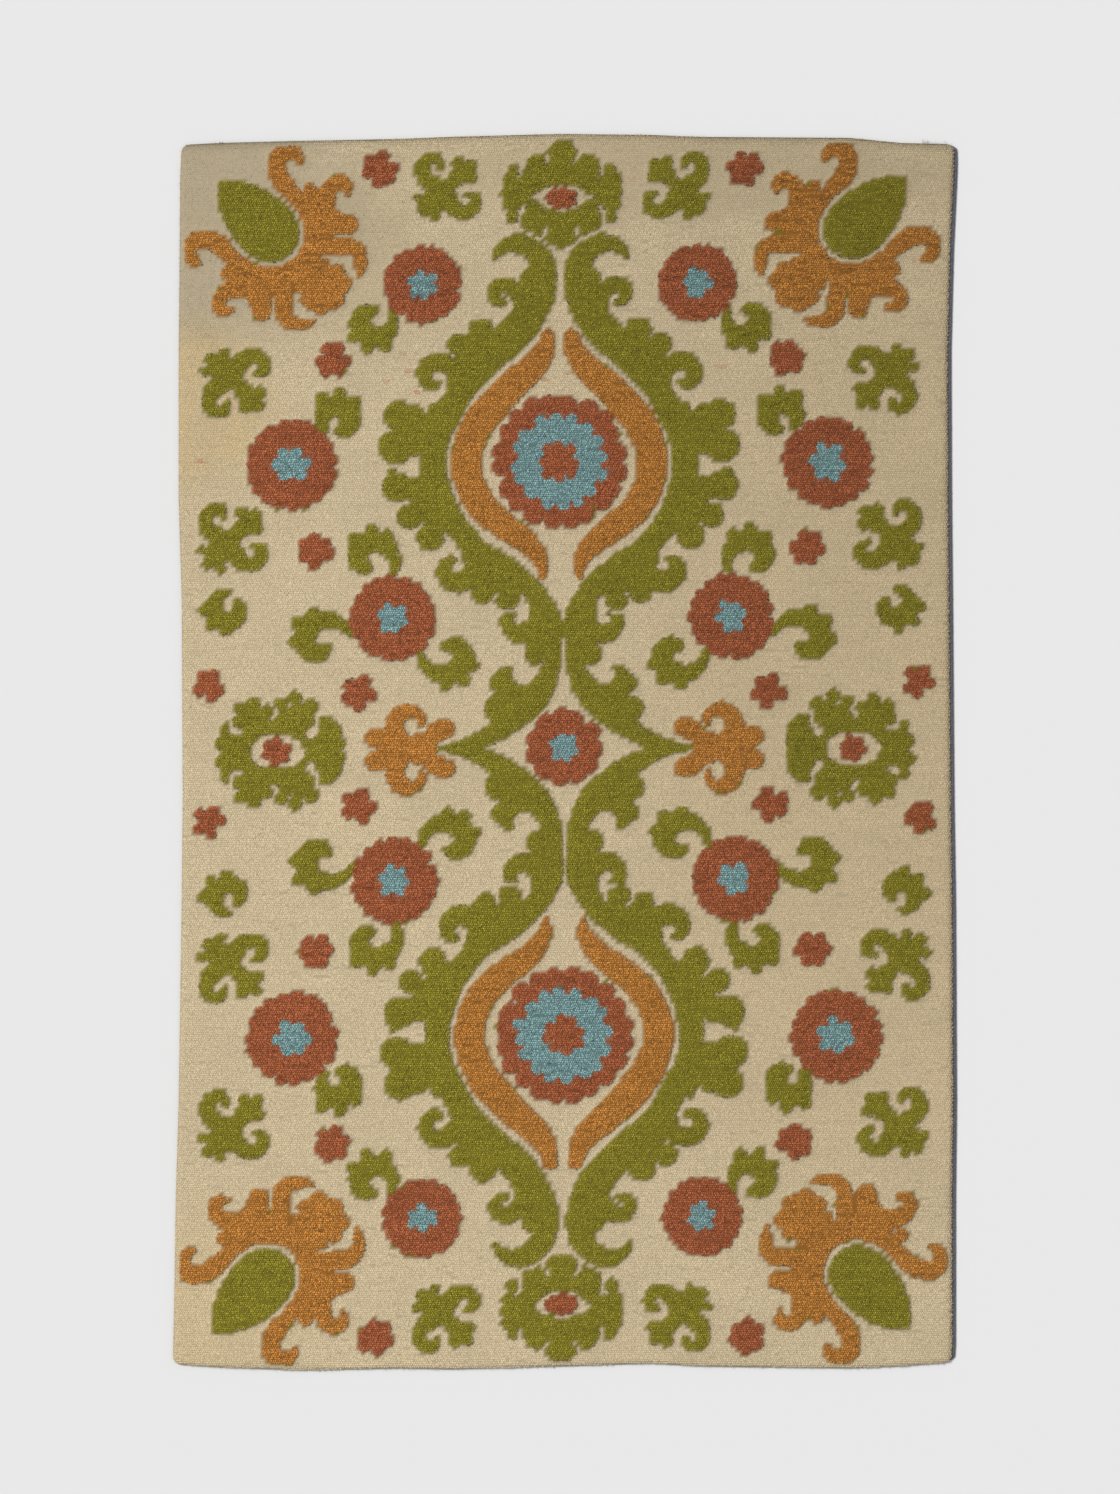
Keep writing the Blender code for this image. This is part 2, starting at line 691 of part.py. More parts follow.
def tufted_pile():
    """The slab of pile with its ornament raised."""
    xs, ys, field = raised_field()
    loops = [simplified(loop) for loop in contour_loops(xs, ys, field)]
    loops = [loop for loop in loops if len(loop) > 2 and np.ptp(loop, axis=0).max() > SMALLEST_LOOP]
    low = CLOTH_THICK + LAYER_GAP
    rim = outline(0, 0, 0, 0)
    shoulder = outline(RIM_ROUND, RIM_ROUND, RIM_ROUND, RIM_ROUND)
    flat, triangles = triangulated([shoulder] + loops)
    raised = turns_round(loops, flat[triangles].mean(axis=1)) > 0
    step_edges = edges_to_step(triangles, raised)
    count = len(flat)
    points = [(x, y, z) for z in (GROUND_TOP, RAISED_TOP) for x, y in flat]
    faces = [tuple(int(k) + count * bool(up) for k in tri) for tri, up in zip(triangles, raised)]
    faces += [(int(a), int(b), int(b) + count, int(a) + count) for a, b in step_edges]
    on_rim = [int(np.hypot(*(flat - point).T).argmin()) for point in shoulder]
    ring = len(rim)
    first = len(points)
    points += [(x, y, low) for x, y in rim] + [(x, y, GROUND_TOP - RIM_ROUND) for x, y in rim]
    faces += ring_faces(first, first + ring, ring)
    faces += [
        (first + ring + k, first + ring + (k + 1) % ring, on_rim[(k + 1) % ring], on_rim[k]) for k in range(ring)
    ]
    bottom, triangles = triangulated([rim])
    order = [int(np.hypot(*(rim - point).T).argmin()) for point in bottom]
    faces += [tuple(first + order[k] for k in triangle) for triangle in triangles]
    print("raised contours:", len(loops), "points:", sum(map(len, loops)), "edges to step:", len(step_edges))
    return add_solid("tufted_pile", points, faces, WOOL, 0.95)


for old in list(bpy.data.objects):
    bpy.data.objects.remove(old)
backing_cloth()
tufted_pile()
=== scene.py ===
"""Looks of a tufted wool rug that lies flat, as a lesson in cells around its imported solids."""

# %% [markdown]
# # A tufted wool rug
#
# The imported model holds two solids: a slab of pile with its ornament raised, and the cloth under it.
# Here both are dressed as what they are made of: tens of thousands of cut wool tufts standing in rows,
# and a dark woven backing. Nothing is moved, so the frame's own box is kept.

import bpy
import numpy as np
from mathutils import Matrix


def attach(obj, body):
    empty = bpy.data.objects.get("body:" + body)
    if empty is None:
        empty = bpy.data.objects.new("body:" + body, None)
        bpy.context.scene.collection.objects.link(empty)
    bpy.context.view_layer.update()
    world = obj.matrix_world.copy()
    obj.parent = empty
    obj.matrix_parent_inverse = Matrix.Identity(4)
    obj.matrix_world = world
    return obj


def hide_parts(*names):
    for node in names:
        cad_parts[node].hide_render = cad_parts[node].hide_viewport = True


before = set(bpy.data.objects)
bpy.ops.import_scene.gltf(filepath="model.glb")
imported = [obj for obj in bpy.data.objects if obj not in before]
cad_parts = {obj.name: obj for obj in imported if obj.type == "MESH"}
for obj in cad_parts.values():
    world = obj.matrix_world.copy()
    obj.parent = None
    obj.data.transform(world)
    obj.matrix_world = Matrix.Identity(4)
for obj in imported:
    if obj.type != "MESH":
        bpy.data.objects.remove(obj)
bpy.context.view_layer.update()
MM = 0.001
print("nodes:", sorted(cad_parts))

# %% [markdown]
# ## Sizes
#
# All sizes are in millimetres. The rug's middle is the origin, x runs to its right side, y to its top end.
# The pile has two levels: the short sand-coloured ground and the ornament, which is left longer, so that
# every leaf and flower stands out like a low cushion. The same values shaped the solids.

# %% Heights of the cloth and the pile
CLOTH_TOP = 1.6
PILE_FOOT = 1.9
GROUND_TOP = 8.4
RAISED_TOP = 12.6
RIM_ROUND = 3.6
RIM_MARGIN = 9.0
CORNER_RADIUS = 15.0
print("pile height over the cloth:", GROUND_TOP - CLOTH_TOP, "and", RAISED_TOP - CLOTH_TOP, "mm")

# %% [markdown]
# ## The uneven edges
#
# A hand-guided tufting tool never leaves a true rectangle. The long sides bow by a centimetre and the ends
# wave a little. Two short tables say how far each edge lies at a few places, and straight lines join them.

# %% How far each edge lies
SIDES = np.array(
    [  # y, left, right
        (-1237, -785, 775),
        (-1100, -782, 775),
        (-896, -779, 775),
        (-696, -773, 777),
        (-296, -767, 775),
        (-96, -765, 772),
        (304, -767, 769),
        (504, -773, 767),
        (804, -773, 766),
        (1004, -771, 771),
        (1154, -770, 778),
        (1237, -766, 780),
    ],
    float,
)
ENDS = np.array(
    [  # x, bottom, top
        (-785, -1225, 1214),
        (-690, -1231, 1219),
        (-530, -1237, 1223),
        (-330, -1233, 1227),
        (-230, -1235, 1231),
        (-10, -1229, 1237),
        (170, -1223, 1235),
        (270, -1229, 1231),
        (570, -1233, 1229),
        (670, -1229, 1219),
        (785, -1220, 1216),
    ],
    float,
)


def side_at(y, column):
    """x of the left (1) or right (2) edge at the height y."""
    return np.interp(y, SIDES[:, 0], SIDES[:, column])


def end_at(x, column):
    """y of the bottom (1) or top (2) edge at the width x."""
    return np.interp(x, ENDS[:, 0], ENDS[:, column])


def inside_rim(x, y):
    """Distance in from the nearest edge; in a corner, from the arc that rounds it."""
    across = np.minimum(x - side_at(y, 1), side_at(y, 2) - x)
    along = np.minimum(y - end_at(x, 1), end_at(x, 2) - y)
    in_corner = CORNER_RADIUS - np.hypot(np.maximum(CORNER_RADIUS - across, 0), np.maximum(CORNER_RADIUS - along, 0))
    return np.minimum(np.minimum(across, along), in_corner)


print("width at the middle:", side_at(0, 2) - side_at(0, 1), "mm")

# %% [markdown]
# ## Chance that changes smoothly
#
# Hand work wanders slowly rather than jumping. Cloud noise gives that: random values on a square lattice,
# eased from one lattice point to the next. Streak noise is the same along each row of tufts alone, so that
# neighbouring rows don't share it. Both are repeatable, because each use names its own seed.


# %% Cloud and streak noise
def eased(t):
    """Zero to one with a soft start and end: three t squared less two t cubed."""
    t = np.clip(t, 0, 1)
    return t * t * (3 - 2 * t)


def cloud(x, y, size, seed):
    """Smooth chance from -1 to 1: lattice values of the given size, blended with eased weights in x and y."""
    table = np.random.default_rng(seed).uniform(-1, 1, (256, 256))
    u, v = np.asarray(x) / size + 128, np.asarray(y) / size + 128
    i, j = np.floor(u).astype(int), np.floor(v).astype(int)
    a, b = eased(u - i), eased(v - j)
    low = table[j % 256, i % 256] * (1 - a) + table[j % 256, (i + 1) % 256] * a
    high = table[(j + 1) % 256, i % 256] * (1 - a) + table[(j + 1) % 256, (i + 1) % 256] * a
    return low * (1 - b) + high * b


def streak(x, row, length, seed):
    """Smooth chance from -1 to 1 along each row: values every length, blended with an eased weight in x."""
    table = np.random.default_rng(seed).uniform(-1, 1, (1024, 256))
    u = x / length + 128 + 0.37 * row
    i = np.floor(u).astype(int)
    a = eased(u - i)
    return table[row % 1024, i % 256] * (1 - a) + table[row % 1024, (i + 1) % 256] * a


print("cloud at the middle:", round(float(cloud(0.0, 0.0, 50, 1)), 3))

# %% [markdown]
# ## Strokes
#
# The ornament is drawn as a maker would chalk it on the cloth: with a round brush whose width changes along
# the stroke. A stroke is an array of x, y and half width. A single row is a dot, and dots make the lobes of
# leaves and petals. A hook winds round its eye. Everything is drawn for one quarter and mirrored.

# %% Stroke tools
STROKE_STEP = 6.0
LEAST_HALF_WIDTH = 2.5


def smooth(rows):
    """A curve through the rows in even short steps: cubics whose slope at a row is half the next less the last."""
    rows = np.asarray(rows, float)
    ends = np.vstack([2 * rows[0] - rows[1], rows, 2 * rows[-1] - rows[-2]])
    path = []
    for p0, p1, p2, p3 in zip(ends, ends[1:], ends[2:], ends[3:]):
        count = max(1, int(np.ceil(np.hypot(*(p2 - p1)[:2]) / STROKE_STEP)))
        t = (np.arange(count) / count)[:, None]
        bend = (2 * p0 - 5 * p1 + 4 * p2 - p3) * t**2 + (3 * p1 - p0 - 3 * p2 + p3) * t**3
        path.append(0.5 * (2 * p1 + (p2 - p0) * t + bend))
    path = np.vstack(path + [rows[-1:]])
    path[:, 2] = np.maximum(path[:, 2], LEAST_HALF_WIDTH)
    return path


def dots(rows):
    """One round dot for each row of x, y, radius."""
    return [np.array([row], float) for row in rows]


def hook(row, points=8):
    """A stroke from its root that winds round its eye, closer and thinner as the angle grows."""
    root, eye, (start, sweep) = row[0:2], row[2:4], row[4:6]
    (far, near), (wide, thin) = row[6:8], row[8:10]
    s = np.linspace(0, 1, points)
    angle = np.radians(start + sweep * s)
    away = far + (near - far) * s
    x, y = eye[0] + away * np.cos(angle), eye[1] + away * np.sin(angle)
    return smooth(np.vstack([[*root, wide], np.stack([x, y, wide + (thin - wide) * s**1.6], 1)]))


def both_sides(strokes):
    """The strokes and their mirror image across x = 0."""
    return strokes + [stroke * (-1, 1, 1) for stroke in strokes]


def quarters(strokes):
    """The strokes mirrored into all four quarters."""
    signs = [(1, 1, 1), (-1, 1, 1), (1, -1, 1), (-1, -1, 1)]
    return [stroke * sign for sign in signs for stroke in strokes]


def placed(strokes, x, y, heading=90.0, size=1.0):
    """Strokes drawn round 0, 0 with their top at +y, turned so that the top points along the heading."""
    turn = np.radians(heading - 90.0)
    c, s = np.cos(turn), np.sin(turn)
    moved = []
    for stroke in strokes:
        sx, sy, half = (stroke * size).T
        moved.append(np.stack([x + c * sx - s * sy, y + s * sx + c * sy, half], 1))
    return moved


print("a hook has", len(hook((0, 0, 40, 0, 180, -200, 40, 14, 20, 6))), "points")

# %% [markdown]
# ## Flowers and single leaves
#
# A rosette or floret is a disc ringed by round petals, each a little uneven, as the hand left them. A fleuron
# is two hooks under a head of three lobes. A comma leaf swells from a thin stem and curls round its eye.


# %% Flower, fleuron and comma
def flower(rng, x, y, radius, petals, petal, uneven, squash=1.0):
    """A disc ringed by round petals: their middles lie on a circle, and petal is their radius as a share of the flower's."""
    turn = np.radians(rng.uniform(0, 360) + 360 / petals * (np.arange(petals) + rng.normal(0, 0.09, petals)))
    size = petal * radius * (1 + rng.normal(0, 1.4 * uneven, petals))
    away = radius * (1 + rng.normal(0, uneven, petals)) - size
    ring = np.stack([x + away * np.cos(turn), y + squash * away * np.sin(turn), size * (1 + squash) / 2], 1)
    if squash == 1:
        heart = [(x, y, radius * (1 - 1.15 * petal))]
    else:
        heart = [(x + shift, y, 0.8 * squash * radius) for shift in (-12, 12)]
    return dots(heart) + [row[None] for row in ring]


def fleuron():
    """Two hooks that open to three lobes at the top, with three lobes at the foot."""
    arm = smooth([(18, -6, 20), (50, -9, 17), (70, 6, 15), (70, 27, 13), (57, 37, 11), (41, 30, 6)])
    half = [arm] + dots([(21, 62, 13.5), (27, -49, 10.5)])
    head = smooth([(0, 0, 22), (0, 25, 15), (0, 45, 20), (0, 62, 18)])
    foot = smooth([(0, 0, 24), (0, -30, 27)])
    return both_sides(half) + [head, foot] + dots([(0, 78, 13.5), (0, -58, 14)])


def comma(stem, way):
    """A leaf round its eye: the reach falls from the stem's with the fourth power, the width swells, then thins."""
    s = np.linspace(0, 1, 12)
    angle = np.radians(285 * s)
    away = 34 + (stem - 34) * (1 - s) ** 4 - 15 * np.clip((s - 0.62) / 0.38, 0, 1) ** 1.5
    half = 6 + 16 * np.clip(s / 0.4, 0, 1) ** 0.8 - 12 * np.clip((s - 0.62) / 0.38, 0, 1) ** 2
    leaf = [smooth(np.stack([away * np.cos(angle), away * np.sin(angle), half], 1))]
    for turn, reach, radius in ((98, 55, 14), (135, 60, 12), (172, 55, 13)):
        c, s = reach * np.cos(np.radians(turn)), reach * np.sin(np.radians(turn))
        leaf.append(smooth([(0.8 * c, 0.8 * s, radius + 3), (c, s, radius)]))
    return [stroke * (1, way, 1) for stroke in leaf]


print("a fleuron has", len(fleuron()), "strokes")

# %% [markdown]
# ## Where things stand in a quarter
#
# The layout is the old one of embroidered hangings: two ogees of hooked vine round a medallion, rosettes with
# comma leaves beside them, fleurons along the border and a palmette in each corner. Each table has a row for
# a flower, a leaf, or a station of a vine.

# %% Flowers and single leaves of one quarter
ROSETTES = [  # x, y, radius, scallops, radius of its star
    (276, 935, 80, 19, 31),
    (540, 573, 93, 19, 40),
    (340, 264, 88, 19, 34),
]
FLORETS = [  # x, y, radius, petals
    (366, 1167, 38, 6),
    (457, 784, 38, 6),
    (494, 402, 38, 6),
    (711, 137, 35, 5),
    (411, 114, 38, 5),
]
MEDALLION = (575, 137, 20)  # y, radius, scallops
MIDDLE_ROSETTE = (78, 11)  # radius, scallops
FLEURONS = [  # x, y, heading of its top in degrees, size
    (237, 1125, 135, 0.94),
    (661, 749, 225, 0.97),
    (668, 421, 135, 0.97),
]
COMMAS = [  # x, y of its eye, direction of its stem, way round, reach of its stem, size
    (370, 864, 152, 1, 35, 1.0),
    (451, 658, -37, 1, 24, 1.0),
    (378, 382, 222, -1, 52, 1.0),
    (482, 222, 170, -1, 58, 1.02),
    (233, 186, 10, -1, 55, 1.0),
    (669, 294, 90, -1, 30, 0.9),
]
SIDE_FLORET = (576, 29, 6)  # x, radius, petals
END_FLORET = (1109, 36, 8, 0.60)  # y, radius, petals, height to width
print("round flowers in a quarter:", len(ROSETTES) + len(FLORETS))

# %% The vine, its curls and the crescent inside it
TRUNK = [  # x, y, half width
    (46, 998, 20),
    (34, 965, 25),
    (40, 925, 32),
    (57, 893, 38),
    (72, 858, 34),
    (104, 822, 33),
    (150, 785, 36),
    (178, 760, 36),
    (200, 728, 32),
    (231, 674, 33),
    (248, 635, 30),
    (252, 591, 26),
    (249, 531, 27),
    (222, 462, 26),
    (190, 424, 23),
    (168, 388, 32),
    (120, 357, 33),
    (66, 312, 31),
    (36, 257, 33),
    (24, 206, 20),
    (24, 167, 18),
    (48, 114, 26),
    (98, 68, 30),
    (143, 30, 20),
    (190, 8, 15),
    (230, 2, 8),
    (256, 0, 4),
]
VINE_HOOKS = [  # root x, y, eye x, y, start, sweep, reach from, to, half width from, to
    (38, 940, 98, 968, 180, -152, 62, 40, 26, 5),
    (72, 921, 114, 911, 160, -280, 25, 13, 18, 6),
    (198, 761, 248, 747, 140, -265, 35, 14, 20, 7),
    (168, 352, 212, 366, 235, 215, 34, 13, 22, 5),
    (38, 240, 84, 266, 230, 200, 38, 14, 24, 6),
    (58, 104, 89, 148, 250, 145, 50, 21, 27, 6),
]
VINE_LOBES = [  # x, y, radius
    (62, 947, 20),
    (158, 839, 27),
    (203, 813, 23),
    (166, 814, 20),
    (324, 669, 31),
    (294, 663, 28),
    (330, 607, 34),
    (292, 621, 34),
    (328, 527, 31),
    (339, 557, 9),
    (292, 521, 26),
    (304, 467, 25),
    (261, 427, 28),
    (262, 491, 36),
    (262, 454, 16),
    (158, 313, 22),
    (110, 299, 22),
    (144, 339, 28),
    (54, 191, 23),
    (127, 131, 21),
    (133, 79, 27),
    (98, 96, 34),
]
VINE_SLITS = [  # each row x, y, half width
    [(101, 884, 6), (101, 898, 5), (108, 909, 5), (115, 912, 4)],
    [(247, 706, 9), (231, 732, 7), (237, 749, 7), (247, 748, 6)],
    [(207, 395, 9), (202, 381, 6), (207, 368, 7)],
    [(81, 305, 4), (77, 286, 9), (80, 263, 11), (90, 259, 7)],
    [(84, 280, 7), (100, 276, 4), (124, 275, 4)],
    [(0, 984, 8), (16, 1000, 5), (34, 1019, 4), (58, 1034, 4), (86, 1044, 4)],
]
CRESCENT = [  # x, y, half width
    (24, 828, 15),
    (32, 797, 20),
    (56, 764, 26),
    (96, 728, 30),
    (131, 692, 32),
    (164, 651, 32),
    (185, 597, 30),
    (187, 560, 30),
    (176, 520, 29),
    (153, 482, 29),
    (115, 449, 27),
    (70, 415, 23),
    (45, 385, 17),
    (37, 362, 11),
    (38, 345, 6),
]
print("stations along the vine:", len(TRUNK))

# %% The corner palmette, the trefoil and the wreaths
CORNER = (602, 1058, 225)  # x, y, heading of the palmette's axis into the field
CORNER_STROKES = [  # each row x, y, half width
    [(0, 130, 34), (36, 118, 34), (64, 82, 30), (82, 40, 22), (84, -2, 20), (93, -46, 19)],
    [(93, -46, 19), (113, -69, 18), (137, -68, 16), (148, -50, 13), (143, -33, 6)],
    [(92, 60, 30), (110, 62, 25), (143, 47, 17), (167, 47, 14), (176, 63, 13), (163, 80, 6)],
    [(90, 80, 30), (112, 112, 22), (122, 124, 20)],
    [(50, 110, 26), (70, 134, 20), (95, 160, 17), (96, 186, 14), (78, 204, 11), (62, 212, 6)],
]
CORNER_LOBES = [  # x, y, radius
    (116, 22, 15),
    (106, 92, 22),
    (0, 146, 42),
    (0, 176, 46),
    (40, 176, 17),
    (30, 200, 20),
    (0, 208, 23),
]
CORNER_SLITS = [[(40, 132, 3), (55, 151, 5), (62, 175, 7), (58, 202, 9)]]
ALMOND = [(0, -108, 11), (0, -70, 38), (0, -30, 56), (0, 8, 62), (0, 26, 58)]
GROOVE = 10.0
TREFOIL_STROKES = [  # each row x, y, half width
    [(355, 0, 24), (300, 0, 26), (268, 0, 14)],
    [(289, 14, 20), (249, 37, 20), (237, 40, 18)],
    [(339, 10, 24), (379, 24, 20)],
]
TREFOIL_HOOKS = [(325, 8, 307, 50, -20, 205, 34, 20, 20, 6)]  # columns as in VINE_HOOKS
TREFOIL_SLITS = [[(303, 56, 9), (299, 41, 7), (284, 38, 4), (271, 58, 3)]]
SIDE_WREATH = (574, 0)  # x, y
SIDE_WREATH_LOBES = [  # x, y, radius
    (-40, 65, 30),
    (-67, 90, 15),
    (-36, 106, 14),
    (-7, 94, 14),
    (-62, 68, 14),
    (52, 62, 28),
    (46, 97, 14),
    (74, 88, 13),
    (22, 82, 13),
    (80, 62, 13),
    (104, 48, 12),
    (112, 18, 15),
    (0, 52, 20),
]
SIDE_WREATH_STROKES = [  # each row x, y, half width
    [(-104, 16, 24), (-72, 20, 32), (-40, 50, 32), (0, 56, 22), (40, 52, 30), (64, 34, 34), (90, 16, 28)],
    [(-116, 14, 18), (-111, 44, 15), (-97, 56, 13), (-87, 57, 11)],
]
SIDE_WREATH_SLITS = [
    [(-47, 0, 2), (-20, 0, 30), (22, 0, 31), (54, 0, 2)],
    [(-74, 78, 3), (-78, 52, 5), (-66, 36, 11)],
    [(10, 98, 4), (4, 78, 5), (10, 68, 5)],
    [(74, 42, 5), (86, 43, 7), (94, 50, 4), (95, 66, 4)],
]
END_WREATH = (0, 1115)  # x, y
END_WREATH_LOBES = [  # x, y, radius
    (8, 93, 16),
    (22, 84, 12),
    (0, 66, 32),
    (50, 58, 24),
    (44, 70, 13),
    (66, 50, 12),
    (95, 50, 13),
    (106, 30, 14),
    (110, 6, 13),
    (106, -18, 13),
    (88, 8, 28),
    (98, -43, 14),
    (52, -45, 28),
    (66, -62, 13),
    (46, -76, 12),
    (0, -60, 30),
    (0, -82, 25),
    (20, -88, 12),
]
END_WREATH_STROKES = [[(0, 42, 22), (40, 34, 24), (76, 8, 26), (60, -26, 22), (30, -50, 22), (0, -58, 26)]]
END_WREATH_SLITS = [
    [(0, -5, 28), (25, -4, 20), (45, -3, 9), (58, -3, 2)],
    [(34, 84, 4), (28, 72, 4), (25, 66, 3)],
    [(84, 55, 4), (80, 42, 3)],
    [(82, -60, 5), (82, -40, 4), (77, -24, 3)],
    [(28, -66, 4), (34, -76, 4), (40, -90, 4)],
]
print("lobes in the two wreaths:", len(SIDE_WREATH_LOBES), "and", len(END_WREATH_LOBES))

# %% [markdown]
# ## One list of strokes for each dye
#
# Six wools make the rug. Each gets its own strokes. Rust flowers lie over the green, blue stars over the
# rust, and a medallion has a rust heart again over its blue disc. The whole drawing then drifts by a few
# millimetres, as the rows did under the maker's hand.

# %% Strokes by dye
WANDER = [  # y, shift in x, shift in y, widening, rise at the sides
    (-1200, -8.0, 3.0, 0.015, -18),
    (-900, -5.5, 7.0, 0.013, -13),
    (-600, -2.0, 8.0, 0.009, -7),
    (-300, -1.0, 11.0, 0.003, -8),
    (0, -0.5, 9.0, 0.000, -6),
    (300, -7.0, 6.0, -0.004, -4),
    (600, -12.0, 6.0, -0.007, -3),
    (900, -10.5, 2.0, -0.006, -1),
    (1200, -5.0, -2.0, 0.000, 4),
]
SIDE_REACH = 640.0
SKEW = 0.0055
SIGNS = ((1, 1), (-1, 1), (1, -1), (-1, -1))


def drawn(table):
    """A smooth stroke for each entry of a table of strokes."""
    return [smooth(rows) for rows in table]


def green_leaves():
    """Vine, fleurons, comma leaves and wreaths, for one quarter."""
    strokes = [smooth(TRUNK)] + [hook(row) for row in VINE_HOOKS] + dots(VINE_LOBES)
    for x, y, heading, size in FLEURONS:
        strokes += placed(fleuron(), x, y, heading, size)
    for x, y, start, way, stem, size in COMMAS:
        strokes += placed(comma(stem, way), x, y, start + 90, size)
    strokes += placed(dots(SIDE_WREATH_LOBES) + drawn(SIDE_WREATH_STROKES), *SIDE_WREATH)
    return strokes + placed(both_sides(dots(END_WREATH_LOBES) + drawn(END_WREATH_STROKES)), *END_WREATH)


def orange_leaves():
    """Crescent, trefoil and corner palmette, for one quarter."""
    strokes = drawn([CRESCENT] + TREFOIL_STROKES) + [hook(row) for row in TREFOIL_HOOKS]
    return strokes + placed(both_sides(drawn(CORNER_STROKES) + dots(CORNER_LOBES)), *CORNER)


def slits():
    """Every pocket of ground pile that is cut into the leaves, for one quarter."""
    strokes = drawn(VINE_SLITS + TREFOIL_SLITS)
    strokes += placed(both_sides(drawn(CORNER_SLITS)), *CORNER)
    strokes += placed(drawn(SIDE_WREATH_SLITS), *SIDE_WREATH)
    return strokes + placed(both_sides(drawn(END_WREATH_SLITS)), *END_WREATH)


def rust_flowers(rng):
    """Every rosette, medallion and floret."""
    strokes = []
    for side, end in SIGNS:
        for x, y, radius, scallops, star in ROSETTES:
            strokes += flower(rng, side * x, end * y, radius, scallops, 0.17, 0.012)
        for x, y, radius, petals in FLORETS:
            strokes += flower(rng, side * x, end * y, radius, petals, 0.36, 0.03)
    for sign in (1, -1):
        y, radius, scallops = MEDALLION
        strokes += flower(rng, 0, sign * y, radius, scallops, 0.15, 0.012)
        x, radius, petals = SIDE_FLORET
        strokes += flower(rng, sign * x, 0, radius, petals, 0.36, 0.05)
        y, radius, petals, squash = END_FLORET
        strokes += flower(rng, 0, sign * y, radius, petals, 0.30, 0.03, squash)
    return strokes + flower(rng, 0, 0, *MIDDLE_ROSETTE, 0.27, 0.02)


def blue_stars(rng):
    """The six-armed star of each rosette and the scalloped disc of each medallion."""
    strokes = []
    for side, end in SIGNS:
        for x, y, radius, scallops, star in ROSETTES:
            strokes += flower(rng, side * x, end * y, star, 6, 0.30, 0.05) + dots([(side * x, end * y, 0.62 * star)])
    for sign in (1, -1):
        strokes += flower(rng, 0, sign * MEDALLION[0], 99, 16, 0.13, 0.016)
    return strokes + flower(rng, 0, 0, 31, 6, 0.30, 0.05) + dots([(0, 0, 18)])


def rust_hearts(rng):
    """The scalloped middle of each medallion."""
    strokes = []
    for sign in (1, -1):
        strokes += flower(rng, 0, sign * MEDALLION[0], 43, 8, 0.26, 0.03)
    return strokes


def wandered(strokes):
    """The strokes with the drift of rows guided by hand, read off its table at each stroke's y."""
    table = np.array(WANDER, float)
    moved = []
    for x, y, half in (stroke.T for stroke in strokes):
        right, up, wider, rise = (np.interp(y, table[:, 0], table[:, k]) for k in (1, 2, 3, 4))
        lifted = y + up + SKEW * x + rise * (x / SIDE_REACH) ** 2
        moved.append(np.stack([(1 + wider) * x + right, lifted, half], 1))
    return moved


LAYERS = {  # each layer lies over the one before
    "green": wandered(quarters(green_leaves())),
    "almond": wandered(quarters(placed([smooth(ALMOND)], *CORNER))),
    "orange": wandered(quarters(orange_leaves())),
    "rust": wandered(rust_flowers(np.random.default_rng(7))),
    "blue": wandered(blue_stars(np.random.default_rng(8))),
    "heart": wandered(rust_hearts(np.random.default_rng(9))),
}
CUTS = wandered(quarters(slits()))
print("strokes:", {name: len(strokes) for name, strokes in LAYERS.items()}, "cuts:", len(CUTS))

# %% [markdown]
# ## How far is the nearest stroke?
#
# Each tuft has to know its dye and its height. A signed distance answers both: it is below zero inside a
# stroke, and its size says how near the edge is. It is worked out once for each dye on a fine raster, stroke
# by stroke, and then read off between the raster's points wherever a tuft stands.

# %% Distance rasters
RASTER = 2.0
FAR = 60.0
raster_x = np.arange(-800.0, 800.0 + RASTER, RASTER)
raster_y = np.arange(-1250.0, 1250.0 + RASTER, RASTER)


def stroke_field(strokes):
    """Signed distance to the nearest stroke: away from its line, less the half width there."""
    field = np.full((len(raster_y), len(raster_x)), FAR)
    for stroke in strokes:
        pairs = zip(stroke, stroke[1:]) if len(stroke) > 1 else [(stroke[0], stroke[0] + (0.01, 0, 0))]
        for (x0, y0, r0), (x1, y1, r1) in pairs:
            reach = max(r0, r1) + 14
            i0, i1 = np.searchsorted(raster_x, (min(x0, x1) - reach, max(x0, x1) + reach))
            j0, j1 = np.searchsorted(raster_y, (min(y0, y1) - reach, max(y0, y1) + reach))
            gx, gy = raster_x[None, i0:i1], raster_y[j0:j1, None]
            dx, dy = x1 - x0, y1 - y0
            t = np.clip(((gx - x0) * dx + (gy - y0) * dy) / (dx * dx + dy * dy), 0, 1)
            away = np.hypot(gx - x0 - t * dx, gy - y0 - t * dy) - r0 - t * (r1 - r0)
            np.minimum(field[j0:j1, i0:i1], away, out=field[j0:j1, i0:i1])
    return field


def look_up(field, x, y):
    """The field between its raster points, weighted by nearness in x and in y."""
    u = np.clip((x - raster_x[0]) / RASTER, 0, len(raster_x) - 1.001)
    v = np.clip((y - raster_y[0]) / RASTER, 0, len(raster_y) - 1.001)
    i, j = u.astype(int), v.astype(int)
    a, b = u - i, v - j
    low = field[j, i] * (1 - a) + field[j, i + 1] * a
    high = field[j + 1, i] * (1 - a) + field[j + 1, i + 1] * a
    return low * (1 - b) + high * b


FIELDS = {name: stroke_field(strokes) for name, strokes in LAYERS.items()}
uncut = -stroke_field(CUTS)
FIELDS["green"] = np.maximum(FIELDS["green"], uncut)
FIELDS["orange"] = np.maximum(np.maximum(FIELDS["orange"], uncut), GROOVE - FIELDS["almond"])
raised_raster = np.minimum.reduce(list(FIELDS.values()))
print("share of the raster that is raised:", round(float((raised_raster < 0).mean()), 3))

# %% [markdown]
# ## Dye and height at any place
#
# The edges between two wools are never a clean curve, because each tuft is all one or all the other. A small
# cloud shift makes them ragged by a millimetre. Height steps up where the ornament starts, is a little lower
# along its clipped edge, and rounds off at the rim.

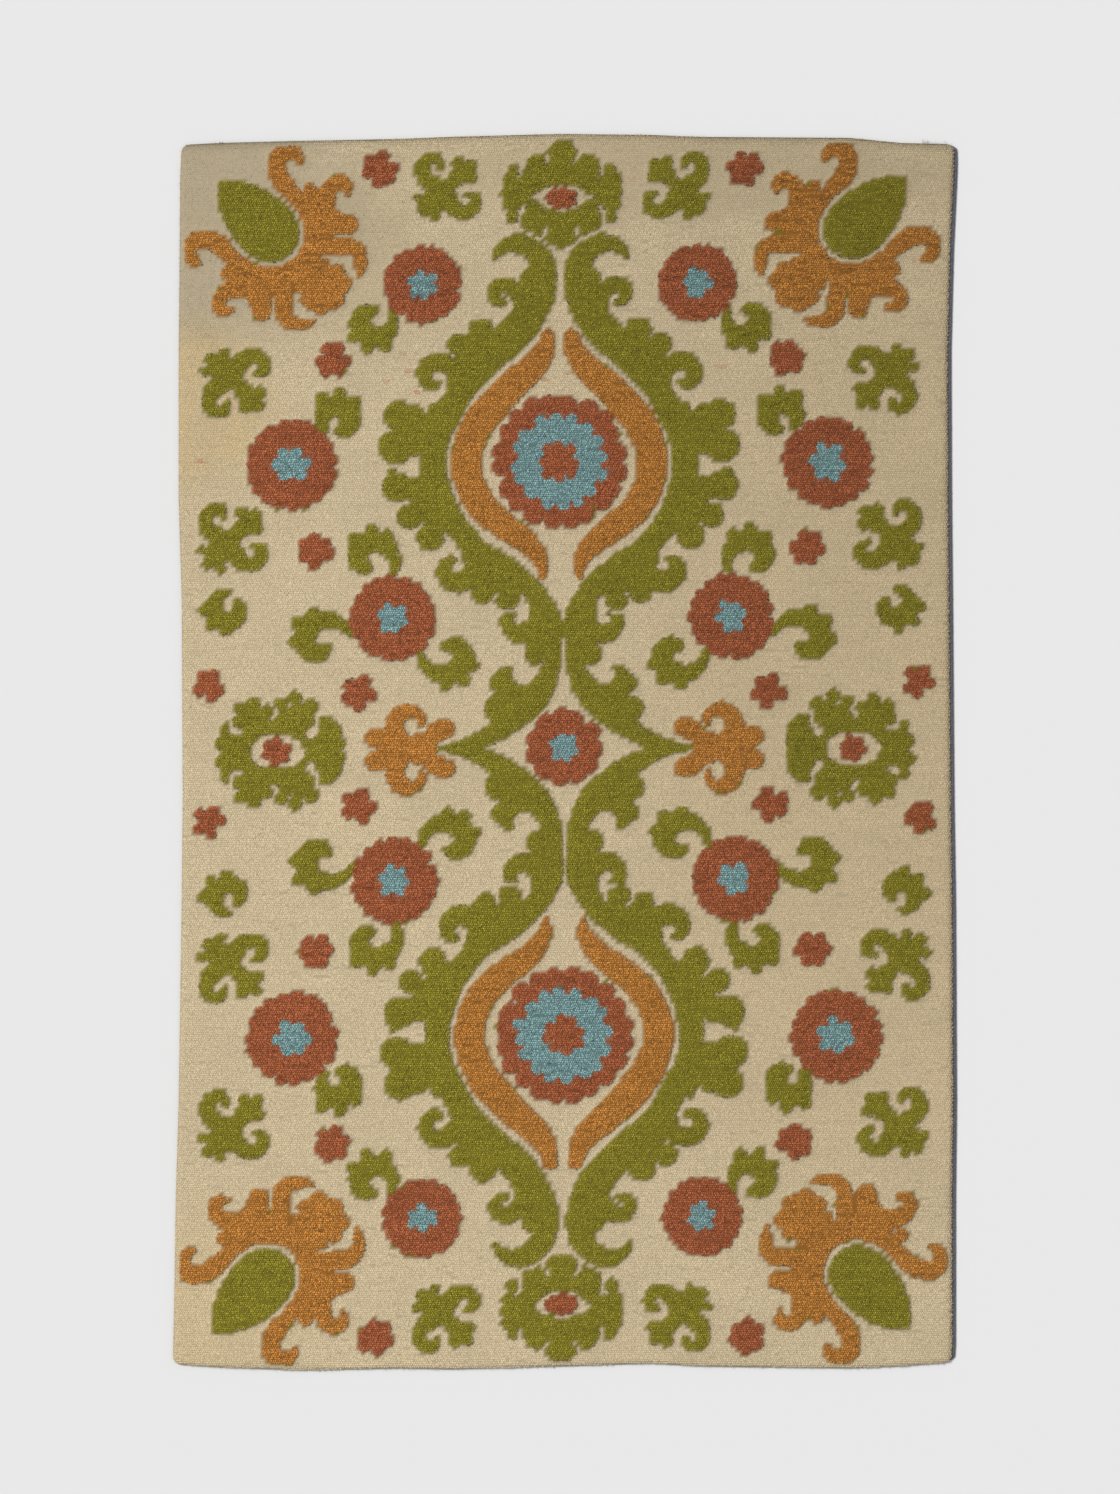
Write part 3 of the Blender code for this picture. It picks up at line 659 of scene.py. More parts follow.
# %% Dye and height
DYES = ["ground", "green", "orange", "rust", "blue"]
LAYER_DYE = {"green": 1, "almond": 1, "orange": 2, "rust": 3, "blue": 4, "heart": 3}


def raised_at(x, y):
    """Signed distance to the raised ornament, kept clear of the rim."""
    return np.maximum(look_up(raised_raster, x, y), RIM_MARGIN - inside_rim(x, y))


def dye_at(x, y, margin=0.0):
    """Number of the dye at each place: the last layer that covers it, and ground within the margin of their edge."""
    wx, wy = x + 0.9 * cloud(x, y, 9, 21), y + 0.9 * cloud(x, y, 9, 22)
    dye = np.zeros(np.shape(x), int)
    for name, field in FIELDS.items():
        dye[look_up(field, wx, wy) < 0] = LAYER_DYE[name]
    return np.where(np.maximum(look_up(raised_raster, wx, wy), RIM_MARGIN - inside_rim(x, y)) < -margin, dye, 0)


def rim_fall(x, y, reach=9.0):
    """How much the pile rounds down near the rim: grows with the square of the nearness."""
    return RIM_ROUND * np.clip(1 - inside_rim(x, y) / reach, 0, 1) ** 2


def rim_shade_at(x, y):
    """Painted shade where the pile rounds down at its edges, most at the top end: falls off with the power of the
    distance.
    """
    ends = 1.0 * np.exp((y - end_at(x, 2)) / 6) + 0.1 * np.exp((end_at(x, 1) - y) / 4)
    return np.clip(ends + 0.7 * np.exp((x - side_at(y, 2)) / 4) + 0.3 * np.exp((side_at(y, 1) - x) / 4), 0, 1)


print("dye in the middle:", DYES[int(dye_at(np.array([0.0]), np.array([0.0]))[0])])

# %% [markdown]
# ## From arrays to a mesh
#
# Every piece here is made of arrays: points, faces as rows of point numbers, and named numbers that the
# materials read, such as how light a tuft is. foreach_set hands them over at once, which takes a moment
# where adding points one by one would take minutes. Each piece also gets a flat map seen from above.


# %% A piece from arrays
def new_piece(name, points, faces, values=None, point_colours=None, maps=None):
    """A smooth mesh object at the origin. Its flat map is x and y, each as a share of the piece's box."""
    mesh = bpy.data.meshes.new(name)
    mesh.vertices.add(len(points))
    mesh.vertices.foreach_set("co", (points * MM).astype(np.float32).ravel())
    mesh.loops.add(faces.size)
    mesh.loops.foreach_set("vertex_index", faces.astype(np.int32).ravel())
    mesh.polygons.add(len(faces))
    mesh.polygons.foreach_set("loop_start", np.arange(0, faces.size, faces.shape[1], dtype=np.int32))
    mesh.polygons.foreach_set("use_smooth", np.ones(len(faces), bool))
    mesh.update(calc_edges=True)
    for label, numbers in (values or {}).items():
        mesh.attributes.new(label, "FLOAT", "POINT").data.foreach_set("value", numbers.astype(np.float32).ravel())
    if point_colours is not None:
        mesh.color_attributes.new("dye", "FLOAT_COLOR", "POINT").data.foreach_set("color", point_colours.astype(np.float32).ravel())
    if maps is None:
        low, high = points[:, :2].min(0), points[:, :2].max(0)
        maps = (points[:, :2] - low) / (high - low)
    mesh.uv_layers.new(name="OFBake").data.foreach_set("uv", maps[faces.ravel()].astype(np.float32).ravel())
    piece = bpy.data.objects.new(name, mesh)
    bpy.context.scene.collection.objects.link(piece)
    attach(piece, "root")
    print(name, "triangles:", len(faces) * (faces.shape[1] - 2))
    return piece


# %% [markdown]
# ## A closed sheet on the rug's own grid
#
# Both the cloth and the bed of the pile are closed sheets with the rug's outline. The grid's two parameters
# run from side to side and from end to end, and stretch to the uneven edges. In the corners the square is
# pressed to a quarter disc, which rounds them with no seam.


# %% Grid and sheet
def spaced(length, step, near_edge):
    """Shares from 0 to 1: a few fine steps at both edges, even ones between."""
    near = np.array(near_edge, float)
    middle = np.linspace(near[-1], length - near[-1], int((length - 2 * near[-1]) / step) + 1)[1:-1]
    return np.concatenate([near, middle, length - near[::-1]]) / length


def rug_grid(step, near_edge, left=0.0, right=0.0, bottom=0.0, top=0.0):
    """x and y of the rug's grid, moved in by the four insets: shares of the way between opposite edges."""
    u, v = np.meshgrid(spaced(1560, step, near_edge), spaced(2462, step, near_edge))
    y = -1232 + 2464 * v
    for _ in range(3):
        x = side_at(y, 1) + left + u * (side_at(y, 2) - right - side_at(y, 1) - left)
        y = end_at(x, 1) + bottom + v * (end_at(x, 2) - top - end_at(x, 1) - bottom)
    r = CORNER_RADIUS
    for side, end in SIGNS:
        corner_x = x[-1 if end > 0 else 0, -1 if side > 0 else 0] - side * r
        corner_y = y[-1 if end > 0 else 0, -1 if side > 0 else 0] - end * r
        a, b = side * (x - corner_x) / r, end * (y - corner_y) / r
        there = (a > 0) & (b > 0)
        x = np.where(there, corner_x + side * r * a * np.sqrt(np.maximum(1 - b * b / 2, 0)), x)
        y = np.where(there, corner_y + end * r * b * np.sqrt(np.maximum(1 - a * a / 2, 0)), y)
    return x, y


def closed_sheet(x, y, top, bottom):
    """Points and four-sided faces of a sheet: its upper grid, its lower grid turned over, and a wall round the border."""
    rows, columns = x.shape
    upper = np.stack([x, y, top], -1).reshape(-1, 3)
    lower = np.stack([x, y, np.full_like(x, bottom)], -1).reshape(-1, 3)
    number = np.arange(rows * columns).reshape(rows, columns)
    quads = np.stack([number[:-1, :-1], number[:-1, 1:], number[1:, 1:], number[1:, :-1]], -1).reshape(-1, 4)
    border = np.concatenate([number[0, :-1], number[:-1, -1], number[-1, :0:-1], number[:0:-1, 0]])
    onward = np.roll(border, -1)
    under = rows * columns
    wall = np.stack([border + under, onward + under, onward, border], 1)
    return np.vstack([upper, lower]), np.vstack([quads, quads[:, ::-1] + under, wall])


def sheet_maps(points):
    """Flat map of a closed sheet: the upper side takes most of the width, the lower side a strip beside it."""
    share = (points[:, :2] - points[:, :2].min(0)) / np.ptp(points[:, :2], axis=0)
    upper = np.arange(len(points)) < len(points) // 2
    share[:, 0] = np.where(upper, 0.84 * share[:, 0], 0.86 + 0.14 * share[:, 0])
    return share


# %% [markdown]
# ## The dyes
#
# Colours are given as seen on a screen and turned to the linear values that a shader works with. No two
# strands take the dye alike, so each wool also says how far its strands spread to darker and lighter.

# %% Dyes as light values
DYE_COLOURS = {  # red, green, blue on a screen
    "ground": (200, 182, 148),
    "green": (156, 146, 47),
    "orange": (193, 130, 58),
    "rust": (170, 96, 60),
    "blue": (131, 165, 165),
}
STRAND_SPREAD = {"ground": 0.08, "green": 0.46, "orange": 0.42, "rust": 0.42, "blue": 0.42}


def linear(screen):
    """Screen values 0 to 255 as linear light: the power 2.4 of the value plus 0.055, over 1.055."""
    share = np.asarray(screen, float) / 255
    return np.where(share > 0.04045, ((share + 0.055) / 1.055) ** 2.4, share / 12.92)


MEAN_DYE = np.array([linear(DYE_COLOURS[name]) for name in DYES])
print("ground as light:", MEAN_DYE[0].round(3))

# %% [markdown]
# ## The bed under the tips
#
# Between the tips of the tufts one sees down to their packed lower halves. That is one closed sheet, a little
# lower than the tips. A plain grid would turn every leaf into stairs, so grid points near the ornament's edge
# slide along the distance's slope until they lie just inside or just outside of it.

# %% The bed sheet
BED_STEP = 9.1
EDGE_GAP = 1.2
BED_BELOW = {"ground": 1.3, "raised": 2.5}
# Painted shade of the bed between the tufts, as a share of its dye.
BED_SHADE = {"ground": 0.68, "raised": 0.42}


def drawn_to_edge(x, y):
    """Points within one step of the ornament's edge, moved along the slope to a gap's width from it."""
    f = raised_at(x, y)
    slope_x = (raised_at(x + 1, y) - raised_at(x - 1, y)) / 2
    slope_y = (raised_at(x, y + 1) - raised_at(x, y - 1)) / 2
    share = np.clip(abs(f) / BED_STEP, 0, 1)
    wanted = np.sign(f) * (EDGE_GAP + (BED_STEP - EDGE_GAP) * share**3)
    move = np.where((share < 1) & (inside_rim(x, y) > 2 * BED_STEP), wanted - f, 0)
    return x + move * slope_x, y + move * slope_y, f < 0


grid_x, grid_y = rug_grid(BED_STEP, (0, 1.0, 2.4, 4.6, 8.0))
bed_x, bed_y, is_raised = drawn_to_edge(grid_x, grid_y)
bed_top = np.where(is_raised, RAISED_TOP - BED_BELOW["raised"], GROUND_TOP - BED_BELOW["ground"])
bed_top = bed_top - rim_fall(bed_x, bed_y)
bed_points, bed_faces = closed_sheet(bed_x, bed_y, bed_top, PILE_FOOT)
bed_colour = MEAN_DYE[np.where(is_raised, np.maximum(dye_at(bed_x, bed_y), 1), 0)]
# Painted shade: the bed's dye is darkened between the tufts, most under the ornament, and more towards the rim.
bed_shade = np.where(is_raised, BED_SHADE["raised"], BED_SHADE["ground"]) * (1 - 0.8 * rim_shade_at(bed_x, bed_y))
bed_colour = (bed_colour * bed_shade[..., None]).reshape(-1, 3)
bed_colour = np.hstack([np.vstack([bed_colour, np.tile(MEAN_DYE[0], (len(bed_colour), 1))]), np.ones((len(bed_points), 1))])
pile_bed = new_piece("pile_bed", bed_points, bed_faces, point_colours=bed_colour, maps=sheet_maps(bed_points))

# %% [markdown]
# ## Where the tufts stand
#
# The tool pushes yarn through the cloth in rows across the rug, a few millimetres apart. Every second row is
# shifted by half a step, and each tuft strays a little. Here and there two rows part and leave a crack, darkened
# with painted shade, most of all in the ornament near the top end, where this rug was folded.

# %% Rows of tufts
ROW_PITCH = 4.3
TUFT_PITCH = 4.3
TUFT_INSET = 1.2
chance = np.random.default_rng(30)
columns, rows = np.meshgrid(np.arange(-186, 187), np.arange(-290, 291))
tuft_x = TUFT_PITCH * (columns + 0.5 * (rows % 2)) + chance.normal(0, 0.55, rows.shape)
tuft_y = ROW_PITCH * rows + 1.5 * cloud(tuft_x, ROW_PITCH * rows, 180, 31) + chance.normal(0, 0.4, rows.shape)
standing = inside_rim(tuft_x, tuft_y) > 1.2
tuft_x, tuft_y, tuft_row = tuft_x[standing], tuft_y[standing], rows[standing] + 300
tuft_dye = dye_at(tuft_x, tuft_y, TUFT_INSET)
print("tufts:", len(tuft_x), {name: int((tuft_dye == k).sum()) for k, name in enumerate(DYES)})

# %% Cracks between rows
CRACK_SHIFTS = ((0, 1.7), (1, 0.8))  # rows away, how far they are pushed
old_fold = eased((tuft_y - 720) / 200) * (1 - 0.4 * eased((tuft_y - 1150) / 50))


def crack_above(row):
    """Zero to one: how far the row has parted from the next, where its streak noise passes a threshold."""
    share = np.where(tuft_dye > 0, 0.018 + 0.080 * old_fold, 0.006 + 0.014 * old_fold)
    share = share * (0.3 + 1.4 * eased(0.5 + cloud(tuft_x, tuft_y, 70, 38)))
    noise_here = 0.75 * streak(tuft_x, row, 26, 32) + 0.25 * streak(tuft_x, row, 8, 39)
    return eased((noise_here - 0.70 + 1.8 * share) / 0.12)


above, below = crack_above(tuft_row), crack_above(tuft_row - 1)
cracked = np.maximum(above, below)
pushed = sum(far * (crack_above(tuft_row - 1 - away) - crack_above(tuft_row + away)) for away, far in CRACK_SHIFTS)
# Painted shade: darker towards the rim, where the pile rounds down, most at the top end.
edge_shade = rim_shade_at(tuft_x, tuft_y)
# Painted shadow: ground tufts beside the ornament, on its right and lower side, away from the light.
lee_x, lee_y = raised_at(tuft_x - 4, tuft_y) - raised_at(tuft_x + 4, tuft_y), raised_at(tuft_x, tuft_y + 4) - raised_at(tuft_x, tuft_y - 4)
shadow_side = np.clip(0.35 - (0.8 * lee_x + 0.6 * lee_y) / 8, 0, 1)
beside = np.exp(-np.clip(raised_at(tuft_x, tuft_y), 0, None) / 2.5) * (tuft_dye == 0)
edge_shade = np.clip(edge_shade + 0.9 * beside * shadow_side, 0, 1)
tuft_y = tuft_y + pushed
print("tufts in cracks:", int((cracked > 0.5).sum()))

# %% [markdown]
# ## One tuft, many times
#
# A tuft seen from above is a soft cone with a rounded tip. Three or four sides are enough when its faces are
# shaded smooth, and with two hundred thousand of them each face counts. Tips differ in height and lean, and
# lean outwards at the rim. Three numbers go with each point: how light the strand is; how near the tip, which
# the wool turns into painted shade, lower at the rim and on the ground beside the ornament, and below zero on
# the side that faces a crack; and how much of a stray stain it took.


# %% Tufts from places
def tufts(name, here, depth, radius, sides, rng):
    """Cones on a ring of root points round each place: x plus radius times cosine, y plus radius times sine."""
    x, y, top = tuft_x[here], tuft_y[here], tuft_top[here]
    count = len(x)
    turn = rng.uniform(0, 2 * np.pi, count)[:, None] + 2 * np.pi * np.arange(sides) / sides
    wide = radius * (1 + rng.normal(0, 0.07, count))[:, None]
    ring = np.stack([x[:, None] + wide * np.cos(turn), y[:, None] + wide * np.sin(turn)], -1)
    near = np.clip(1 - inside_rim(x, y) / 9, 0, 1)
    out_x = inside_rim(x - 1, y) - inside_rim(x + 1, y)
    out_y = inside_rim(x, y - 1) - inside_rim(x, y + 1)
    tip = np.stack([x + rng.normal(0, 0.5, count) + 0.7 * near * out_x, y + rng.normal(0, 0.5, count) + 0.7 * near * out_y, top], 1)
    low = np.broadcast_to((top - depth)[:, None, None], (count, sides, 1))
    points = np.concatenate([tip[:, None], np.concatenate([ring, low], -1)], 1).reshape(-1, 3)
    k = np.arange(sides)
    fan = np.stack([np.zeros(sides, int), 1 + k, 1 + (k + 1) % sides], 1)
    faces = ((sides + 1) * np.arange(count)[:, None, None] + fan).reshape(-1, 3)
    # Painted shade: the root points on the side that faces a crack fall below zero, and the rim and the ground beside
    # the ornament are darker at tip and root.
    facing = np.maximum(above[here][:, None] * np.sin(turn), -below[here][:, None] * np.sin(turn))
    root_shade = -1.3 * np.clip(facing, 0, 0.77) - edge_shade[here][:, None]
    at_tip = np.hstack([1 - 2.2 * edge_shade[here][:, None], root_shade]).ravel()
    shade, stain = (np.repeat(values[here], sides + 1) for values in (tuft_light, tuft_stain))
    return new_piece(name, points, faces, {"shade": shade, "tip": at_tip, "stain": stain})


# %% Height and lightness of every tuft
edge_depth = -look_up(raised_raster, tuft_x, tuft_y)
tuft_top = np.where(
    tuft_dye > 0,
    RAISED_TOP - 1.1 * np.exp(-np.clip(edge_depth, 0, None) / 4) + 0.35 * cloud(tuft_x, tuft_y, 40, 33),
    GROUND_TOP + 0.2 * cloud(tuft_x, tuft_y, 60, 34),
)
tuft_top = tuft_top + chance.normal(0, 1, len(tuft_x)) * np.where(tuft_dye > 0, 0.42, 0.12)
tuft_top = tuft_top - rim_fall(tuft_x, tuft_y) - np.where(tuft_dye > 0, 0.5, 0.2) * cracked
tuft_light = 0.5 + 0.22 * chance.normal(0, 1, len(tuft_x)) + 0.16 * streak(tuft_x, tuft_row, 60, 35)
tuft_light = np.clip(tuft_light, 0, 1)

# %% Stray specks of dye on the ground
SPECKS = [  # x, y, length along the row, strength
    (-728, 580, 14, 0.9),
    (-312, 762, 12, 0.7),
    (-296, 720, 8, 0.9),
    (-324, 798, 9, 0.6),
    (-358, 742, 9, 0.6),
    (312, 772, 12, 0.6),
    (398, 884, 8, 0.7),
    (134, 1148, 9, 0.6),
    (-40, 744, 9, 0.7),
    (6, 758, 8, 0.6),
    (660, 1124, 10, 0.5),
    (700, 984, 8, 0.6),
]
tuft_stain = np.zeros(len(tuft_x))
for speck_x, speck_y, length, strength in SPECKS:
    reach = np.hypot((tuft_x - speck_x) / length, (tuft_y - speck_y) / 4.5)
    tuft_stain = np.maximum(tuft_stain, strength * (reach < 1) * chance.uniform(0.7, 1.1, len(tuft_x)))
print("stained tufts:", int((tuft_stain > 0).sum()))

# %% The tufts, one piece for each dye
pile_pieces = []
for number, dye_name in enumerate(DYES[1:], start=1):
    here = tuft_dye == number
    sides = 3 if dye_name == "green" else 4
    pile_pieces.append(tufts(dye_name + "_tufts", here, 3.0, 2.9, sides, chance))
for band, (low, high) in enumerate(((-1250, -420), (-420, 420), (420, 1250))):
    here = (tuft_dye == 0) & (tuft_y >= low) & (tuft_y < high)
    pile_pieces.append(tufts(f"ground_tufts_{band + 1}", here, 1.6, 3.0, 3, chance))

# %% [markdown]
# ## The backing cloth
#
# A plain dark cotton cloth covers the glued underside. On the right side the pile has been trimmed back from
# it, and a strip as wide as a pencil shows. It is a closed sheet on the same grid with its own insets.

# %% The cloth sheet
CLOTH_PAST_RIGHT = 7.0
CLOTH_INSET = 2.0
cloth_x, cloth_y = rug_grid(26, (0, 6), CLOTH_INSET, -CLOTH_PAST_RIGHT, CLOTH_INSET, CLOTH_INSET)
cloth_points, cloth_faces = closed_sheet(cloth_x, cloth_y, np.full_like(cloth_x, CLOTH_TOP), 0.0)
backing = new_piece("backing_sheet", cloth_points, cloth_faces, maps=sheet_maps(cloth_points))

# %% [markdown]
# ## Loose ends
#
# Stray wool fibres soften the rim, and cut threads of the cloth stick out on the right side and at the top
# right corner. Each is a thin tapering tube of three sides along a drooping path, and all of one kind are
# joined in one mesh.


# %% Thin tapering tubes
def loose_ends(name, root, heading, length, radius, droop, light):
    """Tubes: out along the heading by the length times s, down by the droop times s squared, thinner by 1 - 0.7 s."""
    count, rings, sides = len(root), 4, 3
    s = np.linspace(0, 1, rings)[None, :, None]
    way = np.stack([np.cos(heading), np.sin(heading), np.zeros(count)], 1)[:, None]
    side = np.stack([-np.sin(heading), np.cos(heading), np.zeros(count)], 1)[:, None]
    up = np.array([0.0, 0.0, 1.0])
    bow = (0.25 * length * np.sin(7 * heading + 3 * length))[:, None, None]
    line = root[:, None] + way * (length[:, None, None] * s) + side * bow * s * s - up * droop[:, None, None] * s * s
    angle = 2 * np.pi * np.arange(sides) / sides
    wide = radius * (1 - 0.7 * s)[..., None]
    around = side[:, :, None] * np.cos(angle)[:, None] + up * np.sin(angle)[:, None]
    points = (line[:, :, None] + wide * around).reshape(-1, 3)
    k, j = np.meshgrid(np.arange(sides), np.arange(rings - 1))
    quad = np.stack([j * sides + k, j * sides + (k + 1) % sides, (j + 1) * sides + (k + 1) % sides, (j + 1) * sides + k], -1)
    faces = (rings * sides * np.arange(count)[:, None, None, None] + quad).reshape(-1, 4)
    return new_piece(name, points, faces, {"shade": np.repeat(light, rings * sides), "tip": np.full(len(points), 0.8)})


# %% Places along the rim
def along_rim(count, rng):
    """Random places on the rim and the heading straight out of it."""
    t = rng.uniform(0, 1, count)
    side = rng.choice(4, count, p=(0.19, 0.31, 0.19, 0.31))
    x = np.select([side == 1, side == 3], [0 * t, 0 * t], -760 + 1520 * t)
    y = np.select([side == 0, side == 2], [end_at(x, 1), end_at(x, 2)], -1205 + 2410 * t)
    x = np.select([side == 1, side == 3], [side_at(y, 2), side_at(y, 1)], x)
    return x, y, np.radians(np.array([-90.0, 0.0, 90.0, 180.0])[side])


fibre_x, fibre_y, fibre_way = along_rim(2600, chance)
fibre_z = chance.uniform(3.0, 7.2, len(fibre_x))
fibre_root = np.stack([fibre_x - 2 * np.cos(fibre_way), fibre_y - 2 * np.sin(fibre_way), fibre_z], 1)
rim_fibres = loose_ends(
    "rim_fibres", fibre_root, fibre_way + chance.normal(0, 0.5, len(fibre_x)), chance.uniform(2.5, 5.5, len(fibre_x)),
    0.34, np.minimum(chance.uniform(0, 2.5, len(fibre_x)), fibre_z - 1), chance.uniform(0.2, 0.8, len(fibre_x)),
)

# %% Cut threads of the cloth
thread_y = chance.uniform(-1200, 1205, 700)
thread_x = side_at(thread_y, 2) + CLOTH_PAST_RIGHT - 1.5
thread_way = chance.normal(0, 0.35, 700)
thread_length = chance.uniform(1.2, 3.6, 700)
corner_t = chance.uniform(0, 1, 26)
corner_x = 715 + 62 * corner_t
corner_root = np.stack([corner_x, end_at(corner_x, 2) - 4 - 10 * corner_t**4, chance.uniform(0.8, 4.0, 26)], 1)
thread_root = np.vstack([np.stack([thread_x, thread_y, chance.uniform(0.5, 1.4, 700)], 1), corner_root])
cloth_threads = loose_ends(
    "cloth_threads", thread_root, np.r_[thread_way, np.radians(chance.uniform(20, 150, 26))],
    np.r_[thread_length, chance.uniform(6, 15, 26)], 0.42, np.r_[np.zeros(700), chance.uniform(0, 0.6, 26)],
    chance.uniform(0.1, 0.9, 726),
)

# %% [markdown]
# ## Node tools
#
# The materials are built from small node groups with named sockets, so that every wool shares the same
# fibres, nap and fading. These helpers only shorten the wiring.


# %% Wiring helpers
def add_node(tree, kind, **settings):
    """A node with its properties set by name."""
    node = tree.nodes.new(kind)
    for label, value in settings.items():
        setattr(node, label, value)
    return node


def feed(tree, socket, source):
    """Links a socket to a source socket, or sets it to a value."""
    if isinstance(source, bpy.types.NodeSocket):
        tree.links.new(source, socket)
    else:
        socket.default_value = source


def calculate(tree, operation, a, b=0.0, c=0.0):
    """One Math node's result."""
    node = add_node(tree, "ShaderNodeMath", operation=operation)
    for socket, source in zip(node.inputs, (a, b, c)):
        feed(tree, socket, source)
    return node.outputs[0]


def blended(tree, share, a, b, how="MIX"):
    """One colour Mix node's result."""
    node = add_node(tree, "ShaderNodeMix", data_type="RGBA", blend_type=how)
    feed(tree, node.inputs[0], share)
    feed(tree, node.inputs[6], a)
    feed(tree, node.inputs[7], b)
    return node.outputs[2]


def ranged(tree, value, low, high, to_low, to_high, shape="SMOOTHSTEP"):
    """One Map Range node's result."""
    node = add_node(tree, "ShaderNodeMapRange", interpolation_type=shape)
    for socket, source in zip(node.inputs, (value, low, high, to_low, to_high)):
        feed(tree, socket, source)
    return node.outputs[0]


def noise(tree, place, scale, detail=2.0, stretch=(1, 1, 1)):
    """Noise at the given scale, drawn out along the axes by the stretch."""
    mapping = add_node(tree, "ShaderNodeMapping")
    feed(tree, mapping.inputs["Vector"], place)
    mapping.inputs["Scale"].default_value = stretch
    node = add_node(tree, "ShaderNodeTexNoise")
    feed(tree, node.inputs["Vector"], mapping.outputs[0])
    feed(tree, node.inputs["Scale"], scale)
    feed(tree, node.inputs["Detail"], detail)
    return node.outputs[0]


def new_group(name, inputs, outputs):
    """A shader node group with named sockets: each entry is a name, a kind and, for inputs, a value."""
    group = bpy.data.node_groups.new(name, "ShaderNodeTree")
    for label, kind, value in inputs:
        socket = group.interface.new_socket(label, in_out="INPUT", socket_type="NodeSocket" + kind)
        if value is not None:
            socket.default_value = value
    for label, kind in outputs:
        group.interface.new_socket(label, in_out="OUTPUT", socket_type="NodeSocket" + kind)
    return group, group.nodes.new("NodeGroupInput").outputs, group.nodes.new("NodeGroupOutput").inputs


def use_group(tree, group, **values):
    """The outputs of a group placed in a material, with its inputs fed by name."""
    node = add_node(tree, "ShaderNodeGroup", node_tree=group)
    for label, source in values.items():
        feed(tree, node.inputs[label.replace("_", " ")], source)
    return node.outputs


# %% [markdown]
# ## Wool fibres
#
# Up close a cut tip is a brush of fine fibres. Two noises make it: one fine and even for the fibre ends, one
# drawn out for the yarn's twist. The group gives a shade that lightens and darkens the dye, and a bumped
# normal.

# %% Group: wool fibres
wool_fibres, given, result = new_group(
    "wool fibres",
    [("Fineness", "Float", 700.0), ("Contrast", "Float", 0.3), ("Relief", "Float", 0.5)],
    [("Shade", "Float"), ("Normal", "Vector")],
)
place = add_node(wool_fibres, "ShaderNodeTexCoord").outputs["Object"]
fine = noise(wool_fibres, place, given["Fineness"], 3.0)
twist = noise(wool_fibres, place, calculate(wool_fibres, "MULTIPLY", given["Fineness"], 0.35), 2.0, (1.0, 2.2, 1.0))
grain = calculate(wool_fibres, "ADD", calculate(wool_fibres, "MULTIPLY", fine, 0.6), calculate(wool_fibres, "MULTIPLY", twist, 0.4))
spread = calculate(wool_fibres, "MULTIPLY", calculate(wool_fibres, "SUBTRACT", grain, 0.5), given["Contrast"])
feed(wool_fibres, result["Shade"], calculate(wool_fibres, "ADD", spread, 1.0))
bump = add_node(wool_fibres, "ShaderNodeBump")
feed(wool_fibres, bump.inputs["Strength"], given["Relief"])
bump.inputs["Distance"].default_value = 0.0008
feed(wool_fibres, bump.inputs["Height"], grain)
feed(wool_fibres, result["Normal"], bump.outputs[0])
print("group sockets:", [socket.name for socket in wool_fibres.interface.items_tree])

# %% [markdown]
# ## Nap, painted light, fading and stains
#
# All wools share two slow changes. The rug is painted lighter at its left and darker to its right and top,
# partly for the nap, which lies over to one side, and partly as painted light from the left. And soft
# patches lie over it: a grey one in the top left corner, which is painted shade, a yellowed one below it
# from years of use, and a faint mottling everywhere.

# %% Group: soft patch
soft_patch, given, result = new_group(
    "soft patch",
    [("Middle", "Vector", (0, 0, 0)), ("Reach", "Vector", (0.1, 0.1, 1.0)), ("Ragged", "Float", 0.5)],
    [("Mask", "Float")],
)
place = add_node(soft_patch, "ShaderNodeTexCoord").outputs["Object"]
offset = add_node(soft_patch, "ShaderNodeVectorMath", operation="SUBTRACT")
feed(soft_patch, offset.inputs[0], place)
feed(soft_patch, offset.inputs[1], given["Middle"])
scaled = add_node(soft_patch, "ShaderNodeVectorMath", operation="DIVIDE")
feed(soft_patch, scaled.inputs[0], offset.outputs[0])
feed(soft_patch, scaled.inputs[1], given["Reach"])
away = add_node(soft_patch, "ShaderNodeVectorMath", operation="LENGTH")
feed(soft_patch, away.inputs[0], scaled.outputs[0])
rough = calculate(soft_patch, "MULTIPLY", calculate(soft_patch, "SUBTRACT", noise(soft_patch, place, 14.0, 4.0), 0.5), given["Ragged"])
feed(soft_patch, result["Mask"], ranged(soft_patch, calculate(soft_patch, "ADD", away.outputs["Value"], rough), 1.25, 0.55, 0.0, 1.0))
print("soft patch made")

# %% Group: nap, painted light and mottling
nap_and_painted_light, given, result = new_group(
    "nap, painted light and mottling",
    [("Colour", "Color", (1, 1, 1, 1)), ("Mottling", "Float", 0.2), ("Lean", "Float", 0.165)],
    [("Colour", "Color")],
)
place = add_node(nap_and_painted_light, "ShaderNodeTexCoord").outputs["Object"]
axes = add_node(nap_and_painted_light, "ShaderNodeSeparateXYZ")
feed(nap_and_painted_light, axes.inputs[0], place)
# Painted light: lighter at the left, darker to the right and towards the top, partly the nap's lean.
to_right = calculate(nap_and_painted_light, "MULTIPLY", ranged(nap_and_painted_light, axes.outputs[0], -0.55, 0.80, 0.0, 1.0), given["Lean"])
to_right = calculate(nap_and_painted_light, "MULTIPLY", to_right, ranged(nap_and_painted_light, axes.outputs[1], -1.2, 0.5, 0.5, 1.0))
to_top = ranged(nap_and_painted_light, axes.outputs[1], 0.0, 1.25, 1.0, 0.94)
broad = calculate(nap_and_painted_light, "MULTIPLY", calculate(nap_and_painted_light, "SUBTRACT", noise(nap_and_painted_light, place, 5.0, 3.0), 0.5), given["Mottling"])
streaks = calculate(nap_and_painted_light, "MULTIPLY", calculate(nap_and_painted_light, "SUBTRACT", noise(nap_and_painted_light, place, 30.0, 3.0, (0.35, 3.0, 1.0)), 0.5), given["Mottling"])
